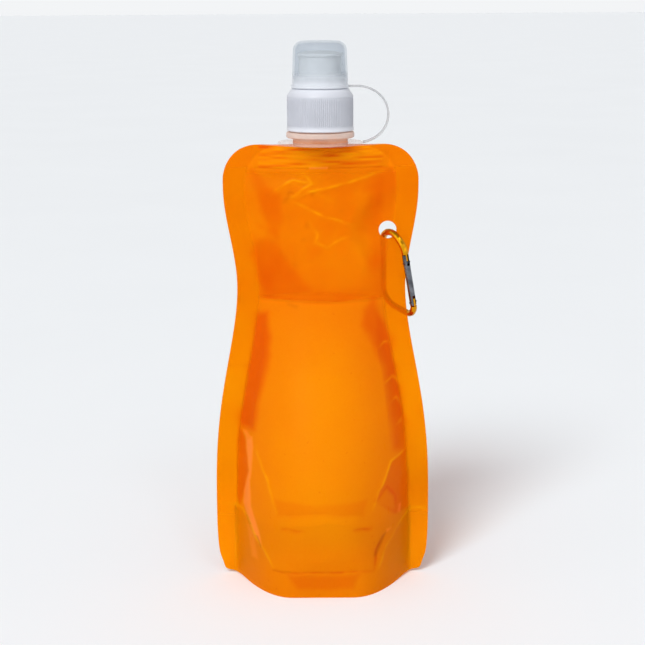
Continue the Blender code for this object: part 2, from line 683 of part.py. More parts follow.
def pull_nozzle(skin, pivot):
    """Push-pull nozzle: a thimble with a hole that slides on the chimney."""
    foot_top = NOZZLE_Z + NOZZLE_FOOT_HEIGHT
    lip_z = NOZZLE_RIM_Z - NOZZLE_LIP_HEIGHT
    bore = CHIMNEY_RADIUS + GAP
    hole = POST_RADIUS + GAP
    dome_step = (NOZZLE_LIP_RADIUS - hole) / 3
    roof = NOZZLE_RIM_Z - NOZZLE_ROOF
    outline = [(NOZZLE_FOOT_RADIUS, NOZZLE_Z), (NOZZLE_FOOT_RADIUS, foot_top), (NOZZLE_RADIUS, foot_top + GAP),
               (NOZZLE_RADIUS, lip_z - GAP), (NOZZLE_LIP_RADIUS, lip_z), (NOZZLE_LIP_RADIUS, NOZZLE_RIM_Z - GAP),
               (NOZZLE_LIP_RADIUS - GAP, NOZZLE_RIM_Z),
               (NOZZLE_LIP_RADIUS - dome_step, NOZZLE_RIM_Z + 0.55 * NOZZLE_DOME),
               (NOZZLE_LIP_RADIUS - 2 * dome_step, NOZZLE_RIM_Z + 0.9 * NOZZLE_DOME),
               (hole, NOZZLE_TOP_Z), (hole, roof), (bore, roof), (bore, NOZZLE_Z)]
    return solid("pull_nozzle", turned(outline), skin, pivot)


# ---------------------------------------------------------------- carabiner

def arc(centre, radius, start, end, steps):
    points = []
    for step in range(steps + 1):
        angle = mix(start, end, step / steps)
        points.append((centre[0] + radius * math.cos(angle), centre[1] + radius * math.sin(angle)))
    return points


def bend(start, start_way, end, end_way, steps):
    """Smooth curve between two points that leaves and arrives along the given ways."""
    cross = start_way.x * end_way.y - start_way.y * end_way.x
    span = end - start
    reach = (span.x * end_way.y - span.y * end_way.x) / cross
    corner = start + start_way * reach
    points = []
    for step in range(1, steps + 1):
        t = step / steps
        point = start * (1 - t) ** 2 + corner * 2 * t * (1 - t) + end * t ** 2
        points.append((point.x, point.y))
    return points


def gate_side():
    """Line from the nose down to where it touches the foot's bend, and its lean."""
    centre = Vector((FOOT_WIDTH - FOOT_FILLET, FOOT_FILLET))
    nose = Vector((HEAD_WIDTH, NOSE_V))
    reach = nose - centre
    lean = math.atan2(reach.y, reach.x) - math.acos(FOOT_FILLET / reach.length)
    touch = centre + FOOT_FILLET * Vector((math.cos(lean), math.sin(lean)))
    return touch, nose, lean


def frame_outline():
    """Centre line of the wire, from the gate's hinge round the spine to the nose."""
    touch, nose, lean = gate_side()
    line = arc((FOOT_WIDTH - FOOT_FILLET, FOOT_FILLET), FOOT_FILLET, lean, -math.pi / 2, 7)
    line += arc((SPINE_FILLET, SPINE_FILLET), SPINE_FILLET, -math.pi / 2, -math.pi, 7)
    head = (HEAD_FILLET, SPINE_HEIGHT - HEAD_FILLET)
    line += arc(head, HEAD_FILLET, math.pi, HEAD_ARC_END, 8)
    leave = Vector((math.sin(HEAD_ARC_END), -math.cos(HEAD_ARC_END)))
    line += bend(Vector(line[-1]), leave, nose, (touch - nose).normalized(), 6)
    return line


def ring_matrix():
    """Places the ring: in through the hang hole, out past the pouch's edge."""
    head = (HEAD_FILLET, SPINE_HEIGHT - HEAD_FILLET)
    foot = (FOOT_WIDTH - FOOT_FILLET, FOOT_FILLET)
    local_head = Vector((head[0] + HEAD_FILLET * math.cos(HEAD_CROSSING),
                         head[1] + HEAD_FILLET * math.sin(HEAD_CROSSING)))
    local_foot = Vector((foot[0] + FOOT_FILLET * math.cos(FOOT_CROSSING),
                         foot[1] + FOOT_FILLET * math.sin(FOOT_CROSSING)))
    chord = local_foot - local_head
    start = Vector((HOLE_X + WIRE_IN_HOLE[0], 0, HOLE_Z + WIRE_IN_HOLE[1]))
    across = FOOT_CROSSING_X - start.x
    drop = math.sqrt(chord.length ** 2 - across ** 2)
    along = Vector((across, 0, -drop)) / chord.length
    in_film = Vector((drop, 0, across)) / chord.length
    outward = math.cos(RING_TILT) * in_film + math.sin(RING_TILT) * Vector((0, -1, 0))
    local_along = chord / chord.length
    local_outward = Vector((-local_along.y, local_along.x))
    u_axis = local_along.x * along + local_outward.x * outward
    v_axis = local_along.y * along + local_outward.y * outward
    normal = u_axis.cross(v_axis)
    turn = Matrix((u_axis, v_axis, normal)).transposed().to_4x4()
    shift = start - turn.to_3x3() @ Vector((local_head.x, local_head.y, 0))
    return Matrix.Translation(shift) @ turn


def in_ring(place, u, v, n=0.0):
    return place @ Vector((u, v, n))


def gate_line(place):
    """Hinge point, nose point and unit vectors of the closed gate."""
    touch, nose, lean = gate_side()
    high = in_ring(place, nose.x, nose.y)
    foot = in_ring(place, touch.x, touch.y)
    along = (high - foot).normalized()
    low = foot + along * (WIRE_RADIUS + GAP)
    normal = (place.to_3x3() @ Z_AXIS).normalized()
    return low, high, along, normal


def plate(place, centre, along, length, width, thickness, normal):
    """Thin plate in the ring's plane."""
    side = normal.cross(along)
    turn = Matrix((side, along, normal)).transposed().to_4x4()
    return block((width, length, thickness), Matrix.Translation(centre) @ turn)


def carabiner_frame(place, skin, pivot):
    """Bent wire with a flat tongue at the nose and a flat tab at the hinge."""
    low, high, along, normal = gate_line(place)
    line = [in_ring(place, u, v) for u, v in frame_outline()]
    made = solid("carabiner_frame", tube(line, WIRE_RADIUS, 10, normal), skin, pivot)
    tab_length = 2 * WIRE_RADIUS + 4 * GAP
    tab = plate(place, low - along * GAP, along, tab_length, 1.5 * WIRE_RADIUS, TONGUE_THICKNESS, normal)
    boolean(made, cutter("frame_tab_joiner", tab, pivot), "UNION")
    middle = high - along * (TONGUE_LENGTH / 2 - GAP)
    tongue = plate(place, middle, along, TONGUE_LENGTH + 2 * GAP, WIRE_RADIUS, TONGUE_THICKNESS, normal)
    boolean(made, cutter("frame_tongue_joiner", tongue, pivot), "UNION")
    reach = normal * 2 * WIRE_RADIUS
    hole = rod(low - reach, low + reach, PIN_RADIUS + PIN_CLEARANCE, 12)
    boolean(made, cutter("frame_pin_cutter", hole, pivot), "DIFFERENCE")
    return made


def carabiner_gate(place, skin, pivot):
    """Tube with a fork at each end: one over the hinge tab, one over the tongue."""
    low, high, along, normal = gate_line(place)
    start = low - along * (WIRE_RADIUS - GAP)
    end = high - along * GAP
    made = solid("carabiner_gate", rod(start, end, WIRE_RADIUS, 14), skin, pivot)
    bore = rod(start - along * MM, end + along * MM, GATE_BORE_RADIUS, 10)
    boolean(made, cutter("gate_bore_cutter", bore, pivot), "DIFFERENCE")
    width = 4 * WIRE_RADIUS
    slot = TONGUE_THICKNESS + 2 * GAP
    low_length = 4 * WIRE_RADIUS + 4 * GAP
    low_slot = plate(place, low - along * GAP, along, low_length, width, slot, normal)
    boolean(made, cutter("gate_hinge_slot_cutter", low_slot, pivot), "DIFFERENCE")
    high_length = 2 * (TONGUE_LENGTH + 2 * PIN_RADIUS + 3 * GAP)
    high_slot = plate(place, high, along, high_length, width, slot, normal)
    boolean(made, cutter("gate_nose_slot_cutter", high_slot, pivot), "DIFFERENCE")
    reach = normal * 2 * WIRE_RADIUS
    pin = rod(low - reach, low + reach, PIN_RADIUS + PIN_CLEARANCE, 12)
    boolean(made, cutter("gate_pin_cutter", pin, pivot), "DIFFERENCE")
    latch = latch_place(place)
    hole = rod(latch - reach, latch + reach, PIN_RADIUS + PIN_CLEARANCE, 12)
    boolean(made, cutter("gate_latch_cutter", hole, pivot), "DIFFERENCE")
    return made


def latch_place(place):
    """The latch pin sits just past the tip of the tongue."""
    low, high, along, normal = gate_line(place)
    return high - along * (TONGUE_LENGTH + PIN_RADIUS + GAP)


def cross_pin(name, centre, normal, skin, pivot):
    half = normal * (WIRE_RADIUS + PIN_STAND)
    return solid(name, rod(centre - half, centre + half, PIN_RADIUS, 12), skin, pivot)


def gate_spring(place, skin, pivot):
    """Small coil inside the gate's tube that pushes on the hinge tab."""
    low, high, along, normal = gate_line(place)
    start = low + along * (WIRE_RADIUS + 5 * GAP)
    side = normal.cross(along)
    pitch = 4.5 * SPRING_WIRE_RADIUS
    steps = SPRING_TURNS * 9
    path = []
    for step in range(steps + 1):
        turn = SPRING_TURNS * step / steps
        angle = math.tau * turn
        wheel = math.cos(angle) * normal + math.sin(angle) * side
        path.append(start + along * pitch * turn + SPRING_RADIUS * wheel)
    return solid("gate_spring", tube(path, SPRING_WIRE_RADIUS, 5, along), skin, pivot)


# ---------------------------------------------------------------- assembly

def build():
    for old in list(bpy.data.objects):
        bpy.data.objects.remove(old, do_unlink=True)

    orange = material("orange_film", (0.95, 0.24, 0.005), 0.22, alpha=0.85)
    deep_orange = material("gusset_film", (0.85, 0.19, 0.005), 0.28, alpha=0.85)
    frosted = material("frosted_spout", (0.80, 0.66, 0.60), 0.35, alpha=0.9)
    white = material("white_cap", (0.78, 0.80, 0.84), 0.38)
    nozzle_white = material("nozzle_plastic", (0.66, 0.70, 0.76), 0.32)
    clear = material("clear_plastic", (0.85, 0.88, 0.90), 0.18, alpha=0.5)
    foam = material("gasket_foam", (0.90, 0.90, 0.88), 0.8)
    gold = material("gold_anodised", (0.86, 0.50, 0.08), 0.22, metallic=1.0)
    silver = material("silver_metal", (0.62, 0.64, 0.68), 0.25, metallic=1.0)
    dark_steel = material("pin_steel", (0.30, 0.30, 0.32), 0.35, metallic=1.0)

    floor = empty("pouch_lower_origin", (0, 0, 0))
    gusset_rise = empty("gusset_rise", (0, 0, GUSSET_SAG_Z))
    fold = empty("pouch_fold", (0, 0, FOLD_Z))
    swivel = empty("tether_swivel", (0, 0, RING_Z))
    stretch = empty("tether_stretch", (0, 0, RING_Z))
    lift = empty("cap_lift", (0, 0, LINER_Z))
    turn = empty("closure_turn", (0, 0, SKIRT_Z))
    pull = empty("nozzle_pull", (0, 0, NOZZLE_Z))
    cover = empty("cover_pull", (0, 0, COVER_Z))
    swing = empty("carabiner_swing", (HOLE_X, 0, HOLE_Z))
    ring = ring_matrix()
    hinge = empty("gate_swing", gate_line(ring)[0])

    film("front_film_lower", FRONT, lower_heights(), orange, floor)
    film("rear_film_lower", REAR, lower_heights(), orange, floor)
    base_gusset(deep_orange, gusset_rise)
    front = film("front_film_upper", FRONT, upper_heights(), orange, fold)
    rear = film("rear_film_upper", REAR, upper_heights(), orange, fold)
    punch_hang_hole([front, rear])
    spout(frosted, fold)

    retaining_ring(clear, swivel)
    tether_strap(clear, stretch)
    dust_cover(clear, cover)

    closure_gasket(foam, lift)
    closure(white, turn)
    pull_nozzle(nozzle_white, pull)

    low, high, along, normal = gate_line(ring)
    carabiner_frame(ring, gold, swing)
    cross_pin("gate_hinge_pin", low, normal, dark_steel, swing)
    carabiner_gate(ring, silver, hinge)
    cross_pin("latch_pin", latch_place(ring), normal, dark_steel, hinge)
    gate_spring(ring, dark_steel, hinge)


build()
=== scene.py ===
"""Looks of the folding water bottle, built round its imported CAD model.

Sizes below are in millimetres in the row frame and become metres in make().
"""
import math

import bmesh
import bpy
import numpy as np
from mathutils import Matrix, Vector


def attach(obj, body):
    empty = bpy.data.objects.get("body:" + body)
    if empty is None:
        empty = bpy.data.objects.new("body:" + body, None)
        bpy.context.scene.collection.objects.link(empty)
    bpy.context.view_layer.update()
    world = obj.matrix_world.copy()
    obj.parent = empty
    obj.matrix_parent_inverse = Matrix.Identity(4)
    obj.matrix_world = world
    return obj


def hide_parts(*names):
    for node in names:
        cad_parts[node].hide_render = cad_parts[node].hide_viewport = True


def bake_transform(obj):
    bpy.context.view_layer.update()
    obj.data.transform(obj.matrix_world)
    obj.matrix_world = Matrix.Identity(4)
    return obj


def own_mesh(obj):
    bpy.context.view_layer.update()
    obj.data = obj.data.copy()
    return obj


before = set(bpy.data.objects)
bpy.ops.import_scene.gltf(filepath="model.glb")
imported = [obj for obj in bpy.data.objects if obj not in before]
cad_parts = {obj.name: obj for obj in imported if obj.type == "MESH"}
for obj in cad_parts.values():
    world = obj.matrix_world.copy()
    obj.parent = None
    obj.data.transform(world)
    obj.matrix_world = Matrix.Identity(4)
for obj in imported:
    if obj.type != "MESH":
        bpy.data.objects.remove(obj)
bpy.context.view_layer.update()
MM = 0.001

# ---- sizes shared with the CAD, in millimetres ----
HIP, HIP_Z = 52.0, 34.0
BASE, WAIST, SHOULDER = 48.8, 40.1, 46.1
WAIST_Z, SHOULDER_Z = 145.0, 192.0
CORNER = 16.0
FILM_TOP = 211.5
SIDE_SEAL, TOP_SEAL = 9.5, 10.5
BASE_DEPTH, TOP_DEPTH = 33.3, 5.4
TAPER_Z, TAPER_POWER = 99.0, 4.6
LENS_POWER = 2.2
RIM, RIM_FLAT, RIM_POWER = 43.5, 14.0, 0.65
HEM_Z, HEM_HALF = 12.5, 24.0
GUSSET_FOLD, GUSSET_SAG, SAG_POWER = 35.0, 4.0, 2.2
FOLD_Z = 106.0
HOLE_X, HOLE_Z, HOLE_RADIUS = 31.6, 171.6, 4.2
HOLE_WELD, HOLE_FADE = 8.0, 11.0
BOAT_LOW, BOAT_HALF, BOAT_DEPTH = 201.0, 29.0, 5.0
NECK, COLLAR, FINISH, FINISH_BORE = 12.85, 15.9, 12.4, 10.2
COLLAR_Z, FINISH_Z, NECK_TOP = 215.3, 218.0, 234.6
RING_Z, RING_HIGH, RING_OUTER = 212.2, 1.2, 19.8
SKIRT, SKIRT_Z, CAP_BORE = 15.45, 218.5, 14.0
SHOULDER_RADIUS, DECK_Z, DECK_TOP = 13.1, 236.2, 238.0
BOSS, BOSS_TOP = 11.85, 241.2
CHIMNEY, CHIMNEY_WALL, CHIMNEY_TOP = 7.4, 1.2, 249.7
NOZZLE_Z, NOZZLE_RIM, NOZZLE_TOP = 241.5, 253.9, 255.2
NOZZLE, NOZZLE_FOOT, NOZZLE_LIP = 9.85, 11.0, 10.6
COVER_Z, COVER_TOP_Z, COVER_FOOT, COVER_TOP = 238.3, 259.7, 13.15, 12.5
STRAP_REACH, STRAP_WIDE, STRAP_THICK = 31.8, 3.6, 1.1

FRONT, REAR = -1, 1
SKIN = 0.34                         # film as it looks, thinner than its solid
LAYER_GAP = 0.06                    # between the welded films
WATER_LINE = 140
BOAT_RIB = 2.15                     # from one weld rib to the next
BOAT_BORE = 3.7
THREAD_PITCH, THREAD_DEPTH = 3.2, 1.2
FRONT_SEED, REAR_SEED = 11, 47      # of the films' noise


# ---------------------------------------------------------------- numbers

def ease(t):
    t = np.clip(t, 0.0, 1.0)
    return t * t * (3 - 2 * t)


def mix(a, b, t):
    return a + (b - a) * t


def bell(t):
    return np.exp(-np.square(t))


def noise(x, z, size, seed):
    """Smooth value noise from -1 to 1."""
    table = np.random.default_rng(seed).random((61, 61)) * 2 - 1
    u, v = np.asarray(x) / size + 20.37, np.asarray(z) / size + 3.91
    i, j = np.floor(u).astype(int), np.floor(v).astype(int)
    p, q = ease(u - i), ease(v - j)
    low = mix(table[i % 61, j % 61], table[(i + 1) % 61, j % 61], p)
    high = mix(table[i % 61, (j + 1) % 61], table[(i + 1) % 61, (j + 1) % 61], p)
    return mix(low, high, q)


def to_segment(x, z, a, b):
    """Distance to a segment, and how far along it the nearest point lies."""
    run = np.array(b, float) - np.array(a, float)
    share = ((x - a[0]) * run[0] + (z - a[1]) * run[1]) / max(run @ run, 1e-9)
    share = np.clip(share, 0, 1)
    return np.hypot(x - a[0] - share * run[0], z - a[1] - share * run[1]), share


def along_line(x, z, points):
    """Distance to an open line, and the share of its length at the nearest point."""
    best = np.full(np.shape(x), 1e9)
    place = np.zeros(np.shape(x))
    count = len(points) - 1
    for index in range(count):
        far, share = to_segment(x, z, points[index], points[index + 1])
        near = far < best
        best = np.where(near, far, best)
        place = np.where(near, (index + share) / count, place)
    return best, place


def in_patch(x, z, points, soft):
    """1 inside a closed outline, 0 outside it, over a soft edge."""
    inside = np.zeros(np.shape(x), bool)
    far = np.full(np.shape(x), 1e9)
    for a, b in zip(points, points[1:] + points[:1]):
        rise = b[1] - a[1]
        rise = rise if abs(rise) > 1e-6 else 1e-6
        crosses = ((a[1] > z) != (b[1] > z)) & (x < (b[0] - a[0]) * (z - a[1]) / rise + a[0])
        inside ^= crosses
        far = np.minimum(far, to_segment(x, z, a, b)[0])
    signed = np.where(inside, far, -far)
    return ease(signed / soft + 0.5)


# ---------------------------------------------------------------- pouch shape

def half_width(z):
    z = np.asarray(z, float)
    low = mix(BASE, HIP, 1 - (1 - np.clip(z / HIP_Z, 0, 1)) ** 3)
    run = np.clip((z - HIP_Z) / (WAIST_Z - HIP_Z), 0, 1) ** 1.45
    middle = mix(HIP, WAIST, ease(run))
    high = mix(WAIST, SHOULDER, ease((z - WAIST_Z) / (SHOULDER_Z - WAIST_Z)))
    rise = np.clip(z - (FILM_TOP - CORNER), 0, CORNER)
    top = SHOULDER - CORNER + np.sqrt(CORNER ** 2 - rise ** 2)
    wide = np.where(z < HIP_Z, low, np.where(z < WAIST_Z, middle, high))
    return np.where(z < FILM_TOP - CORNER, wide, top)


def cavity(z):
    return mix(RIM, half_width(z) - SIDE_SEAL, ease(z / HIP_Z))


def half_depth(x, z):
    depth = mix(TOP_DEPTH, BASE_DEPTH, 1 / (1 + (z / TAPER_Z) ** TAPER_POWER))
    run = np.clip((RIM - abs(x)) / (RIM - RIM_FLAT), 0, 1)
    rim = np.sin(np.pi / 2 * run ** RIM_POWER) ** 2
    lens = 1 - np.minimum(abs(x) / cavity(z), 1) ** LENS_POWER
    swell = depth * mix(rim, lens, ease(z / HIP_Z))
    swell = swell * ease((np.hypot(x - HOLE_X, z - HOLE_Z) - HOLE_WELD) / HOLE_FADE)
    over_boat = np.maximum((BOAT_DEPTH + 0.3) * (1 - (x / (BOAT_HALF + 3)) ** 2), 0)
    return mix(swell, over_boat, ease((z - BOAT_LOW + TOP_SEAL) / TOP_SEAL))


# Folds, kinks and patches of the film: height in mm, half width in mm, points (x, z). The narrow ones are
# also painted, highlight along raised lines and shade along sunken ones.
FRONT_CREASES = [
    (0.30, 1.1, [(-14.2, 187.7), (7.6, 193.4), (29.6, 199.8)]),
    (0.42, 0.8, [(-13.6, 188.5), (-4, 194.5), (-8.3, 199.6)]),
    (0.34, 0.7, [(-13.4, 186.8), (-1, 180.3), (16.2, 174.4)]),
    (0.34, 0.8, [(-2.6, 166.6), (2.8, 164.7), (13, 169.6)]),
    (-0.45, 2.2, [(-32.6, 200.4), (-27.5, 186), (-21.5, 171), (-24, 160)]),
    (0.30, 1.6, [(-17.5, 187), (-18.5, 174), (-14.5, 160), (-4.4, 142.8)]),
    (0.22, 1.5, [(16.5, 173), (20, 158), (18.5, 143)]),
    (0.35, 1.2, [(-5.5, 176), (-1.8, 171), (-2.6, 166.6)]),
    (-0.25, 1.3, [(-33, 176), (-25, 172)]),
    (0.28, 0.9, [(-25, 188), (-13, 196), (-4, 194.6)]),
    (-0.40, 2, [(-30.7, 128), (-29.5, 112), (-33, 92), (-38, 78)]),
    (0.45, 1.5, [(-27.2, 122), (-27.2, 112), (-31, 92), (-33.5, 76)]),
    (-0.40, 2, [(21, 134), (29, 119), (33.5, 100), (36.5, 80), (37.5, 66)]),
    (0.40, 1.4, [(18.5, 122), (26.5, 115.5), (29.5, 100), (31.5, 84), (33, 66)]),
    (0.30, 0.7, [(26.3, 115.5), (29.5, 118.2), (33.3, 117.4)]),
    (0.30, 0.7, [(30.3, 98.5), (34, 101), (37.8, 97.8)]),
    (0.30, 0.7, [(32.7, 87.8), (36, 90.5), (39.5, 84.9)]),
    (0.60, 1.5, [(-39.5, 74), (-34.6, 69), (-35.6, 52), (-36.6, 38), (-31, 25)]),
    (-0.50, 1.5, [(-40, 68), (-38.5, 54), (-40, 40)]),
    (0.45, 1.1, [(-39.6, 36.1), (-35.7, 31.2), (-31.9, 23.9), (-27.8, 19.3), (-23.7, 12.9)]),
    (0.25, 0.8, [(-51.3, 36.4), (-43.1, 36.3), (-39.6, 36.1)]),
    (0.30, 1.2, [(-32.2, 69.6), (-28.2, 58.2), (-25.9, 53.4), (-22.2, 39.6)]),
    (-0.25, 1.6, [(-21.8, 38.9), (0.4, 41.5), (17.7, 39.6)]),
    (0.25, 1.8, [(-13.9, 35.2), (1.9, 37.3), (16.1, 35.4)]),
    (-0.35, 0.9, [(-19.5, 32), (-9.1, 32.9)]),
    (-0.35, 0.9, [(14.5, 32.4), (23.4, 31.4)]),
    (0.50, 1.2, [(40.7, 64.3), (33.4, 60.8), (30.8, 54.5), (26.7, 49.4), (23.8, 40.5)]),
    (-0.35, 1.3, [(25, 44.2), (30.8, 49.6), (35.1, 43.7), (35.5, 35.1)]),
    (0.45, 1.1, [(50.5, 32.8), (43.9, 33.5), (41.3, 31.2), (35.1, 25.7)]),
    (-0.55, 1.2, [(31, 26.6), (25.8, 20.5), (24.4, 12.5)]),
    (0.35, 1.3, [(35.1, 25.7), (29.5, 18), (26.5, 12)]),
    (0.50, 3.4, [(-16, 18.4), (0, 18.6), (15, 18.2)]),
    (-0.35, 0.6, [(-24, 11.4), (-14.8, 12.4), (0, 12.5), (17.6, 12.5), (24.3, 11.4)]),
]
REAR_CREASES = [
    (0.40, 1, [(-30, 199), (-6, 190), (12, 181)]),
    (0.35, 0.8, [(12, 181), (22, 196)]),
    (0.30, 1.2, [(12, 181), (4, 160), (-14, 148)]),
    (-0.40, 2, [(29, 198), (24, 180), (25, 160)]),
    (-0.40, 2, [(30, 128), (30, 110), (36, 84)]),
    (0.40, 1.5, [(26.5, 124), (27, 108), (33, 80)]),
    (-0.40, 2, [(-27, 126), (-32, 104), (-37, 72)]),
    (0.45, 1.1, [(-39.6, 36.1), (-31.9, 23.9), (-23.7, 12.9)]),
    (0.45, 1.1, [(39.6, 36.1), (31.9, 23.9), (23.7, 12.9)]),
    (0.50, 3.2, [(-16, 18.6), (15, 18.2)]),
    (-0.35, 0.6, [(-24, 11.4), (0, 12.5), (24.3, 11.4)]),
]
# Painted shade and highlights on the film, dark bands at the water's sides, along the water line and in
# folds, light patches where light catches: change, soft edge in mm, outline (x, z).
FRONT_SHADE_AND_HIGHLIGHTS = [
    (-0.34, 4, [(-32.6, 200.4), (-27.5, 195.2), (-19.7, 188.4), (-17.8, 178.3), (-19.9, 168.7),
                  (-24.6, 170.9), (-27.6, 180.3), (-30.3, 189.7)]),
    (-0.30, 4, [(-25.4, 169.3), (-19.9, 165.6), (-16, 158.6), (-10.6, 151.7), (-4.4, 142.8),
                  (-25.8, 140.4), (-30.6, 149.6), (-33.6, 160), (-31.1, 166.6)]),
    (-0.12, 1, [(29.6, 199), (-14.2, 187.7), (-1, 179.9), (16.2, 174.4), (20, 160),
                  (26, 150), (29, 165)]),
    (-0.20, 0.8, [(-30.7, 141.5), (-22, 140.6), (-5.2, 141.6), (-1.2, 144.3), (16.9, 142.9),
                  (25, 142), (16.9, 140), (8.2, 138.7), (-1.3, 137.8), (-12.3, 139.1),
                  (-25.8, 139.8)]),
    (-0.66, 4.5, [(-31, 131.5), (-25.6, 133), (-24.6, 120.3), (-24.6, 112.9), (-27, 102.6),
                  (-29.8, 92.3), (-32.4, 76.9), (-40.7, 76), (-41.1, 79.5), (-38.1, 86.6),
                  (-36, 102.3), (-34.2, 114.5), (-32.5, 124.3)]),
    (-0.16, 2.5, [(-30.5, 128), (-27.5, 126), (-28.5, 112), (-33.4, 92), (-36.6, 78),
                  (-39.6, 78), (-35.5, 100), (-33, 116)]),
    (-0.50, 4.6, [(24.5, 139.6), (27.5, 132.2), (30.6, 125.2), (34.8, 118.9),
                  (34.8, 110), (37.2, 102.4), (38.8, 93.2), (41.2, 76.5), (41.2, 63.3),
                  (34.5, 66.6), (32.6, 83.4), (30.8, 98.5), (28.9, 107.3), (25.3, 116.6),
                  (19.2, 126.9), (19.9, 133.7)]),
    (-0.16, 3, [(26.5, 133), (31, 124), (33.6, 112), (36.4, 98), (39.6, 80),
                  (37, 80), (33.6, 98), (30.6, 110), (26, 122)]),
    (-0.50, 1.4, [(-41.3, 76), (-38.5, 74), (-36.9, 70.4), (-36.1, 62.6), (-36.2, 54.4),
                  (-38.6, 42.5), (-40.4, 36.9), (-42.2, 39.8), (-42, 51.8)]),
    (-0.38, 1.6, [(40.7, 64.3), (33.4, 60.8), (30.8, 54.5), (27.5, 50), (24.6, 44.4),
                  (35.1, 33.5), (42.6, 34.6), (42.1, 51.2)]),
    (0.22, 6, [(17, 190), (24, 190), (22, 176), (24, 160), (20, 152), (14, 165)]),
    (0.22, 1.6, [(25.4, 43.4), (30.8, 48.6), (34.6, 43.7), (34.9, 36.1)]),
    (0.40, 1, [(35.1, 76.9), (39, 81.1), (38, 77.5)]),
    (-0.22, 3, [(-23, 46), (21, 46), (20, 38.5), (0, 41), (-21.5, 38.5)]),
    (-0.10, 1.2, [(-20.5, 33), (-9, 33.6), (-12, 31.4), (-19, 31.2)]),
    (-0.10, 1.2, [(14.5, 33.2), (24, 32.6), (23, 30.4), (15.5, 31.2)]),
    (-0.34, 3.2, [(-17, 11), (17, 11), (14.4, 4.4), (-12.3, 4.4)]),
]
# Painted shade on the rear film, with the same columns.
REAR_PAINTED_SHADE = [
    (-0.30, 3, [(30, 198), (22, 190), (19, 170), (26, 168)]),
    (-0.40, 1, [(-28, 141), (0, 143.5), (28, 141.5), (14, 138.6), (-12, 138)]),
    (-0.50, 3, [(30, 128), (27, 114), (34, 76), (41, 77), (35, 102)]),
    (-0.50, 3, [(-26, 128), (-27, 112), (-33, 70), (-41, 66), (-36, 104)]),
    (-0.30, 3.2, [(-17, 11), (17, 11), (14.4, 4.4), (-12.3, 4.4)]),
]
# Painted sheen: pinkish, less clear patches where the film catches the light: amount, soft edge in mm,
# outline (x, z).
SHEEN_PATCHES = [
    (0.62, 1.4, [(-36.6, 72.7), (-33.6, 72.9), (-33, 68), (-34.9, 51.9), (-34.5, 38.6),
                 (-30.4, 27.1), (-29.2, 21.2), (-32.8, 26), (-37, 34.9), (-38.6, 39.1),
                 (-38.1, 45.3), (-35.8, 56.3), (-36.3, 65.8)]),
    (0.35, 1.6, [(-38.8, 75), (-36.2, 75), (-33.6, 72), (-36, 71)]),
    (0.22, 2.2, [(-37, 30), (-33.5, 26), (-31.5, 14), (-34.5, 14)]),
    (0.40, 1.4, [(36.9, 38.4), (38.2, 38), (37.6, 33.8), (36.4, 34.6)]),
    (0.30, 1, [(30.6, 28.6), (33.6, 28.2), (31, 26.6)]),
    (0.45, 0.7, [(-5.4, 202), (3.6, 202.1), (3.2, 200.9), (-5.2, 200.9)]),
]
# Painted shade: darker olive patches in the seals' folds: amount, soft edge in mm, outline (x, z).
FOLD_SHADE_PATCHES = [
    (0.44, 1.2, [(30.6, 27), (28.6, 22.6), (25.4, 17.4), (24.3, 18.2), (26.3, 22.8), (28.8, 26.4)]),
    (0.55, 0.8, [(-37.8, 34.6), (-36.6, 33.2), (-34.6, 29.4), (-35.4, 29.6)]),
    (0.40, 0.8, [(-32.4, 25.4), (-30, 20.4), (-29.2, 20.8), (-31.2, 25.6)]),
    (0.22, 1.8, [(-16.8, 138.6), (-10.9, 137), (-11.6, 135.6), (-16, 137)]),
    (0.25, 0.7, [(-24, 12.4), (-15, 12.9), (-15, 12.2), (-24, 11.6)]),
]
# Trapped bubbles: centre and radius.
BUBBLES = [(-14, 189, 1.35), (-16, 186.3, 1), (-3.4, 189.3, 0.7), (-6.1, 174.7, 0.9),
           (-8.3, 167.8, 0.7), (-38.3, 138.3, 1.2), (10, 181.5, 0.5), (-12, 156, 0.5)]


def relief(x, z, side):
    """How far a film stands proud of its smooth swell."""
    seed = FRONT_SEED if side == FRONT else REAR_SEED
    inside = cavity(z) - abs(x)
    belly = ease(inside / 7) * ease((BOAT_LOW - z) / 5) * ease((z - 2) / 10)
    loose = mix(0.55, 1.0, ease((z - 128) / 14))
    rise = belly * loose * (0.42 * noise(x, z * 0.7, 17, seed) + 0.16 * noise(x, z, 7, seed + 1))
    scallop = noise(x * 0.2, z, 5.2, seed + 2) + 0.6 * noise(x * 0.3, z, 2.6, seed + 3)
    rim = bell((inside - 3.2) / 2.6) * ease((z - 30) / 10) * ease((138 - z) / 10)
    rise = rise + 0.42 * rim * scallop
    for height, wide, points in (FRONT_CREASES if side == FRONT else REAR_CREASES):
        wander = 0.5 * noise(x, z, 5, seed + 5)
        far, share = along_line(x + wander, z - wander, points)
        ends = 0.25 + 0.75 * np.sin(np.pi * np.clip(share * 0.94 + 0.03, 0, 1)) ** 0.6
        rise = rise + height * ends / (1 + (far / wide) ** 2) ** 1.5
    boat = ease((z - BOAT_LOW) / 0.6) * ease((BOAT_HALF - abs(x)) / 1.2)
    boat = boat * ease((FILM_TOP - 0.8 - z) / 0.8)
    ribs = np.abs(np.sin(np.pi * (z - BOAT_LOW) / BOAT_RIB + 0.25 * noise(x, z, 14, 5))) ** 3
    rise = rise + boat * (0.22 * ribs * (0.6 + 0.4 * noise(x, z, 9, seed + 8)) + 0.12)
    rise = rise - 0.22 * bell((z - BOAT_LOW) / 0.5) * ease((40 - abs(x)) / 3)
    if side == FRONT:
        for bx, bz, radius in BUBBLES:
            far = np.hypot(x - bx, z - bz)
            rise = rise + 0.30 * radius * bell((far - radius) / (0.32 * radius))
    weld = ease((np.hypot(x - HOLE_X, z - HOLE_Z) - HOLE_WELD + 2) / 4)
    return rise * weld


